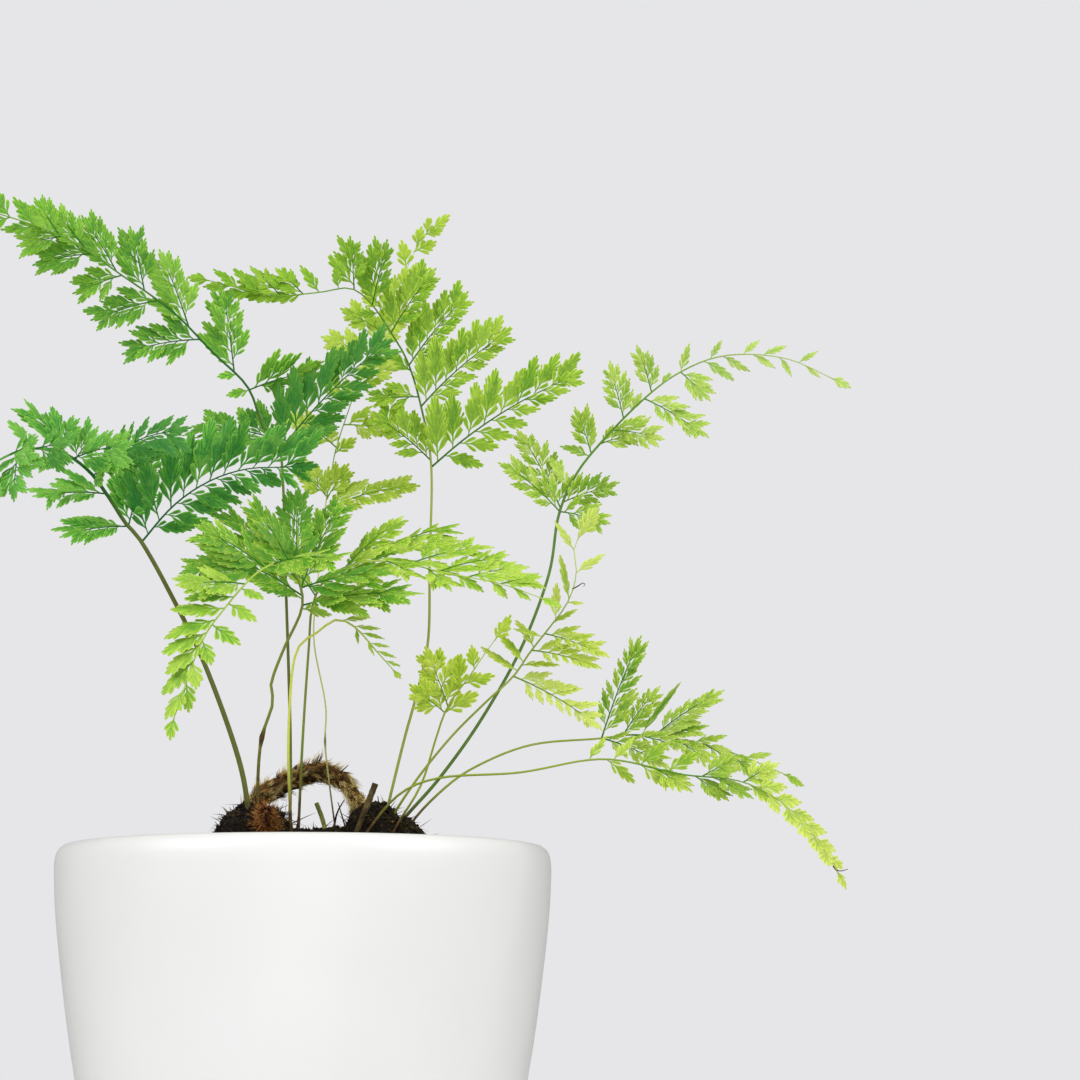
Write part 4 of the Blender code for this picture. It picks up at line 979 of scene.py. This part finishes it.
def pot_material():
    n = new_material("pot_white")
    tint = n.mix(n.spread(n.noise(14.0, 3.0), 0.35, 0.65), linear(243, 243, 242), linear(240, 240, 238))
    n.bump(n.noise(900.0, 3.0), 0.05, 0.0002)
    n.shader.inputs["Coat Weight"].default_value = 0.15
    n.shader.inputs["Coat Roughness"].default_value = 0.25
    return n.surface(tint, n.spread(n.noise(60.0), 0.3, 0.7, 0.34, 0.42))


def soil_material():
    n = new_material("soil_dark")
    stops = (0.30, linear(9, 6, 4)), (0.52, linear(30, 21, 13)), (0.74, linear(72, 52, 30))
    grain = n.ramp(n.noise(420.0, 6.0, 0.7), *stops)
    damp = n.tint(grain, n.noise(60.0), 0.4, 0.65, 1.0, 0.7, linear(12, 9, 7))
    n.bump(n.noise(700.0, 6.0, 0.7), 0.8, 0.0006)
    return n.surface(damp, 0.92, 0.2)


def speckled(name, dark, middle, light, scale=500.0, roughness=0.9):
    """A rough stuff whose grains run from dark to light, with its own tone for each piece of it."""
    n = new_material(name)
    grain = n.maths("ADD", n.noise(scale, 5.0, 0.65), n.maths("MULTIPLY", n.mark("tone"), 0.12))
    colour = n.ramp(grain, (0.30, linear(*dark)), (0.52, linear(*middle)), (0.76, linear(*light)))
    n.bump(n.noise(scale * 2, 4.0), 0.4, 0.0003)
    return n.surface(colour, roughness, 0.25)


def fur_material(name, root, middle, tip):
    """Hairs that are dark at the root and light at the tip."""
    n = new_material(name)
    along = n.maths("ADD", n.mark("along"), n.maths("MULTIPLY", n.mark("tone"), 0.32))
    colour = n.ramp(along, (0.05, linear(*root)), (0.50, linear(*middle)), (0.95, linear(*tip)))
    colour = n.tint(colour, n.noise(130.0), 0.46, 0.60, 0.85, 0.65, linear(*root))
    return n.surface(colour, 0.6, 0.3)


# Pot, soil and rhizome

def pot_piece():
    outer = smooth(POT_OUTSIDE, 6)
    inner = smooth(POT_INSIDE, 5)
    profile = np.vstack([outer, inner[1:]])
    rings = [circle(radius, height, POT_SIDES) for radius, height in profile]
    middles = [(0, 0, profile[0][1]), (0, 0, profile[-1][1])]
    shape = Shape()
    shape.add(np.vstack(rings + [middles]), tube_faces(len(rings), POT_SIDES))
    return shape.build("pot_white", pot_material(), 40)


def heap_height(x, y):
    """The height of the heaped soil at a place, the same rule as in the solid."""
    height = SOIL_TOP
    for cx, cy, wide, deep, high in HEAPS:
        inside = 1 - ((x - cx) / wide) ** 2 - ((y - cy) / deep) ** 2
        height = max(height, SOIL_TOP + high * max(0.0, inside) ** HEAP_STEEPNESS)
    return height


def ground(x, y):
    """The soil's surface with its clods."""
    height = heap_height(x, y)
    clods = noise.fractal(Vector((x * CLOD_SCALE, y * CLOD_SCALE, 3.7)), 0.8, 2.1, 5)
    heaped = min(1.0, (height - SOIL_TOP) / HEAPED)
    return height + clods * (CLOD_HEIGHT + CLOD_ON_HEAP * heaped) - HEAP_LOWERED * heaped


def soil_piece(material):
    reach = POT_INSIDE_TOP - WALL_GAP
    points = []
    for i in range(1, SOIL_RINGS + 1):
        out = (i / SOIL_RINGS) ** RING_CLOSENESS
        for x, y, _ in circle(reach * out, 0, SOIL_SIDES) + (SOIL_MIDDLE * (1 - out), 0, 0):
            points.append((x, y, ground(x, y) if i < SOIL_RINGS else SOIL_TOP - EDGE_SINKS))
    walls = [circle(radius - WALL_GAP, height, SOIL_SIDES) for radius, height in SOIL_WALL]
    middles = [(SOIL_MIDDLE, 0, ground(SOIL_MIDDLE, 0)), (0, 0, SOIL_WALL[-1][1])]
    faces = tube_faces(SOIL_RINGS + len(SOIL_WALL), SOIL_SIDES)
    shape = Shape()
    shape.add(np.vstack([points] + walls + [middles]), faces[:, ::-1])
    return shape.build("soil_dark", material, 60)


def icosahedron():
    """Points, to two places, and faces of a solid of twenty triangles: its ends, and two rings of five."""
    k = np.arange(5)
    step = (k + 1) % 5
    radius, height = 2 / 5**0.5, 1 / 5**0.5
    upper = circle(radius, height, 5)
    points = np.vstack([(0, 0, 1), upper, upper[[3, 4, 0, 1, 2]] * (-1, -1, -1), (0, 0, -1)])
    upper, lower = (1 + k, 1 + step), (6 + k, 6 + step)
    rows = (
        (0 * k, *upper), (upper[0], lower[0], upper[1]), (*lower, upper[1]), (0 * k + 11, *lower[::-1]),
    )
    return np.round(points, 2), np.vstack([np.stack(row, 1) for row in rows])


def crumb(rng, size):
    """Points and faces of one angular crumb round the origin."""
    points, faces = CRUMB
    points = points * rng.uniform(0.6, 1.25, (len(points), 1)) * size
    points = points * rng.uniform(0.6, 1.0, 3)
    q = rng.uniform(0, 2 * np.pi)
    turn = np.array([[np.cos(q), -np.sin(q), 0], [np.sin(q), np.cos(q), 0], [0, 0, 1]])
    return points @ turn, faces


def crumbs_piece(name, material, rng, count, spots, sizes):
    """Crumbs strewn on the soil. A spot is a middle x and y, how far they spread, and its share of them."""
    shape = Shape("tone")
    shares = np.array([spot[4] for spot in spots], float)
    for k in rng.choice(len(spots), count, p=shares / shares.sum()):
        cx, cy, wide, deep, _ = spots[k]
        x, y = cx + wide * rng.standard_normal(), cy + deep * rng.standard_normal()
        if np.hypot(x, y) > POT_INSIDE_TOP - 2.5:
            continue
        size = rng.uniform(*sizes)
        points, faces = crumb(rng, size)
        shape.add(points + (x, y, ground(x, y) + 0.25 * size), faces, tone=rng.standard_normal())
    return shape.build(name, material)


def strands(shape, roots, ways, bends, lengths, radius, rng, rings=3, tones=None):
    """Tapered three-sided hairs. Each starts at its root, sets out its way and bends over its length."""
    count = len(roots)
    ways = ways / np.linalg.norm(ways, axis=1, keepdims=True)
    side = np.cross(ways, rng.standard_normal((count, 3)))
    side /= np.linalg.norm(side, axis=1, keepdims=True)
    other = np.cross(ways, side)
    radii = radius * rng.uniform(0.7, 1.3, count)
    tones = rng.standard_normal(count) if tones is None else tones
    rows = []
    share = np.arange(rings + 1) / rings
    for t in share:
        middle = roots + ways * (lengths * t)[:, None] + bends * (lengths * t * t)[:, None]
        if t == 1:
            rows.append(middle[:, None])
            continue
        size = (radii * (1 - 0.75 * t))[:, None]
        for q in 2 * np.pi * np.arange(3) / 3:
            rows.append((middle + size * (np.cos(q) * side + np.sin(q) * other))[:, None])
    each = 3 * rings + 1
    last = each - 4
    tips = [(last + k, last + (k + 1) % 3, each - 1) for k in range(3)]
    faces = np.vstack([[(0, 2, 1)], bands(rings, 3), tips])
    along = np.append(np.repeat(share[:-1], 3), 1.0)
    shape.add(
        np.concatenate(rows, axis=1).reshape(-1, 3),
        (faces[None] + each * np.arange(count)[:, None, None]).reshape(-1, 3),
        along=np.tile(along, count), tone=np.repeat(tones, each),
    )


def around(axis, count, radius_at, rng, start, end):
    """Random places on the skin of a round stem: points, ways out and ways along it."""
    points, outs, alongs = [], [], []
    for s in rng.uniform(start, end, count) * axis.length:
        alongs.append(axis.tangent(s))
        outs.append(square(rng.standard_normal(3), alongs[-1]))
        points.append(axis.at(s) + outs[-1] * radius_at(s / axis.length))
    return np.array(points), np.array(outs), np.array(alongs)


def leaning(outs, alongs, rng, out, up, loose):
    """Ways of hairs: the least and most of their part out of the stem and up it, and how loose they are."""
    each = (len(outs), 1)
    ways = outs * rng.uniform(*out, each) + alongs * rng.uniform(*up, each)
    return ways + loose * rng.standard_normal(outs.shape)


def arch_radius(share):
    return ARCH_RADIUS * (0.70 + 0.35 * np.sin(np.pi * min(1.0, 1.25 * share)) ** 2)


def tip_radius(share):
    return TIP_RADIUS * (1.0 - 0.8 * share**2)


def core_piece(name, axis, radius_at, material, rng, sides, steps):
    """The scaly skin of a rhizome under its fur."""
    shape = Shape("tone")
    places = np.linspace(0, axis.length, steps)
    points, faces = tube(axis, places, [radius_at(s / axis.length) for s in places], sides)
    centre = np.vstack([np.repeat([axis.at(s) for s in places], sides, axis=0), points[-2:]])
    rough = 1 + 0.16 * rng.uniform(-1, 1, len(points))
    shape.add(centre + (points - centre) * rough[:, None], faces, tone=rng.standard_normal(len(points)))
    return shape.build(name, material)


def arch_pieces(rng):
    """The skin of the arch, and its fur in tufts that are lighter towards both ends."""
    axis = Axis(ARCH)
    skin = speckled("rhizome_skin", (34, 20, 10), (88, 58, 26), (150, 106, 52))
    core = core_piece("rhizome_arch_skin", axis, lambda share: 0.86 * arch_radius(share), skin, rng, 20, 46)
    roots, outs, alongs = around(axis, TUFTS, lambda share: 0.84 * arch_radius(share), rng, 0.01, 0.99)
    ways = leaning(outs, alongs, rng, (0.2, 0.7), (0.7, 1.4), 0.35)
    bends = 0.3 * rng.standard_normal(roots.shape)
    lengths = rng.uniform(1.2, 3.7, TUFTS)
    tones = rng.standard_normal(TUFTS) + 1.5 * np.minimum(np.abs(roots[:, 0]) / 9.0, 1.3) - 1.1
    tufts = (roots, ways, bends, lengths, tones)
    roots, ways, bends, lengths, tones = (np.repeat(row, TUFT_HAIRS, axis=0) for row in tufts)
    roots = roots + 0.30 * rng.standard_normal(roots.shape)
    ways = ways + 0.16 * rng.standard_normal(roots.shape)
    lengths = lengths * rng.uniform(0.6, 1.1, len(roots))
    fur = Shape("along", "tone")
    strands(fur, roots, ways, bends, lengths, 0.085, rng, tones=tones)
    coat = fur_material("fur_tan", (58, 36, 12), (214, 170, 88), (255, 238, 168))
    return [core, fur.build("rhizome_arch_fur", coat)]


def tip_pieces(rng):
    """The skin of the rhizome's growing tip, and its longer fur."""
    axis = Axis(TIP)
    skin = speckled("tip_skin", (44, 22, 10), (112, 62, 24), (160, 96, 40))
    core = core_piece("rhizome_tip_skin", axis, tip_radius, skin, rng, 18, 26)
    roots, outs, alongs = around(axis, TIP_HAIRS, lambda share: 0.80 * tip_radius(share), rng, 0.25, 1.0)
    ways = leaning(outs, alongs, rng, (0.6, 1.0), (0.1, 0.7), 0.25)
    bends = 0.25 * rng.standard_normal(roots.shape)
    fur = Shape("along", "tone")
    strands(fur, roots, ways, bends, rng.uniform(1.6, 3.6, TIP_HAIRS), 0.10, rng)
    coat = fur_material("fur_rust", (14, 7, 3), (140, 70, 24), (238, 172, 88))
    return [core, fur.build("rhizome_tip_fur", coat)]


def roots_piece(rng, material):
    """Thin dry roots that stand out of the heaps in all directions."""
    shape = Shape("along", "tone")
    for cx, cy, wide, deep, count, low, high in ROOT_SPOTS:
        x = cx + wide * rng.uniform(-1, 1, count)
        y = cy + deep * rng.uniform(-1, 1, count)
        roots = np.array([(a, b, ground(a, b) - 0.5) for a, b in zip(x, y)])
        ways = np.stack([(x - cx) / wide, (y - cy) / deep, np.full(count, 0.55)], 1)
        ways = ways + 0.55 * rng.standard_normal((count, 3))
        ways[:, 2] = np.abs(ways[:, 2])
        bends = 0.7 * rng.standard_normal((count, 3)) - (0, 0, 0.5)
        strands(shape, roots, ways, bends, rng.uniform(low, high, count), ROOT_RADIUS, rng, 4)
    return shape.build("dry_roots", material)


def wires_piece(material):
    shape = Shape("tone")
    for points, thick, thin in WIRES:
        axis = Axis(points)
        places = np.linspace(0, axis.length, max(4, int(axis.length / 1.2)))
        shape.add(*tube(axis, places, np.linspace(thick, thin, len(places)), 6))
    return shape.build("wiry_roots", material)


def stub_piece(node, points, radius, colours):
    """The cut foot of a stalk, slightly ringed."""
    axis = Axis(points)
    places = np.linspace(0, axis.length, 24)
    shape = Shape("tone")
    shape.add(*tube(axis, places, radius * (1 + 0.05 * np.sin(places * 3.1)), 12))
    return shape.build(node + "_stalk", speckled(node + "_bark", *colours, 300.0, 0.7), 50)


# Stage, light and camera

def stage():
    """A pale floor that fades out into the background."""
    sides = 96
    rings = np.array(FLOOR_RINGS)
    low, high = FLOOR_FADES
    shape = Shape("fade")
    points = np.vstack([circle(radius, FLOOR, sides) for radius in rings])
    faces = bands(len(rings), sides)[:, ::-1]
    shape.add(points, faces, fade=np.repeat(np.clip((rings - low) / (high - low), 0, 1), sides))
    n = new_material("floor_pale")
    n.bump(n.noise(300.0), 0.05, 0.0002)
    n.surface(linear(228, 228, 229), 0.8, 0.2)
    n.blend(n.mark("fade"), n.shader, n.node("ShaderNodeBsdfTransparent"), "Material Output")
    floor = shape.build("floor", n.owner)


def world():
    """A plain grey backdrop to look at, and soft light from all round."""
    n = Nodes(bpy.data.worlds.new("backdrop"))
    seen = n.node("ShaderNodeBackground", Color=linear(*BACKDROP))
    light = n.node("ShaderNodeBackground", Color=(1.0, 1.0, 1.0, 1.0), Strength=AMBIENT)
    n.blend(n.node("ShaderNodeLightPath").outputs["Is Camera Ray"], light, seen, "World Output")
    bpy.context.scene.world = n.owner
    bpy.context.scene.view_settings.view_transform = "Standard"
    bpy.context.scene.view_settings.look = "None"


def softbox(name, azimuth, elevation, distance, size, power):
    """A square light that faces the plant from its bearing and height."""
    a, e = np.radians((azimuth, elevation))
    way = Vector((np.sin(a) * np.cos(e), -np.cos(a) * np.cos(e), np.sin(e)))
    data = bpy.data.lights.new(name, "AREA")
    data.size = size
    data.energy = power
    lamp = place_object(name, data)
    lamp.location = Vector(LIT_PLACE) + way * distance
    lamp.rotation_euler = way.to_track_quat("Z", "Y").to_euler()


def camera():
    data = bpy.data.cameras.new("camera")
    data.lens = LENS
    data.sensor_width = 36.0
    data.clip_start = 0.05
    eye = place_object("camera", data)
    eye.location = [c * MM for c in EYE]
    eye.rotation_euler = (np.radians(90 + EYE_PITCH), 0.0, np.radians(-EYE_YAW))
    bpy.context.scene.camera = eye


def trim(piece):
    """A piece that adds to the frame."""
    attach(piece, "root")


def dress(piece, node):
    """A piece that stands for a node of the frame."""
    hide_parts(node)
    trim(piece)


def main():
    camera()
    world()
    for light in LIGHTS:
        softbox(*light)
    stage()
    dress(pot_piece(), "pot")
    dress(soil_piece(soil_material()), "soil")
    rng = np.random.default_rng(12)
    dark = speckled("crumb_dark", (7, 5, 3), (24, 17, 10), (78, 58, 34))
    trim(crumbs_piece("soil_crumbs", dark, rng, 2600, CRUMB_SPOTS, (0.25, 1.0)))
    moss = speckled("moss", (26, 24, 10), (70, 62, 28), (128, 116, 66))
    trim(crumbs_piece("moss_crumbs", moss, rng, 200, MOSS_SPOTS, (0.25, 0.7)))
    trim(roots_piece(rng, fur_material("root_dry", (7, 5, 3), (32, 25, 12), (92, 76, 38))))
    for piece in arch_pieces(rng):
        dress(piece, "rhizome_arch")
    for piece in tip_pieces(rng):
        dress(piece, "rhizome_tip")
    trim(wires_piece(speckled("wire_dark", (14, 10, 8), (44, 30, 20), (90, 64, 40))))
    for stub in STUBS:
        dress(stub_piece(*stub), stub[0])
    for index, frond in enumerate(FRONDS):
        material = leaf_material(frond.name + "_green", GREENS[frond.name])
        dress(frond_piece(frond, index, material), frond.name)


LEAFLETS = templates(np.random.default_rng(7))
CRUMB = icosahedron()
main()
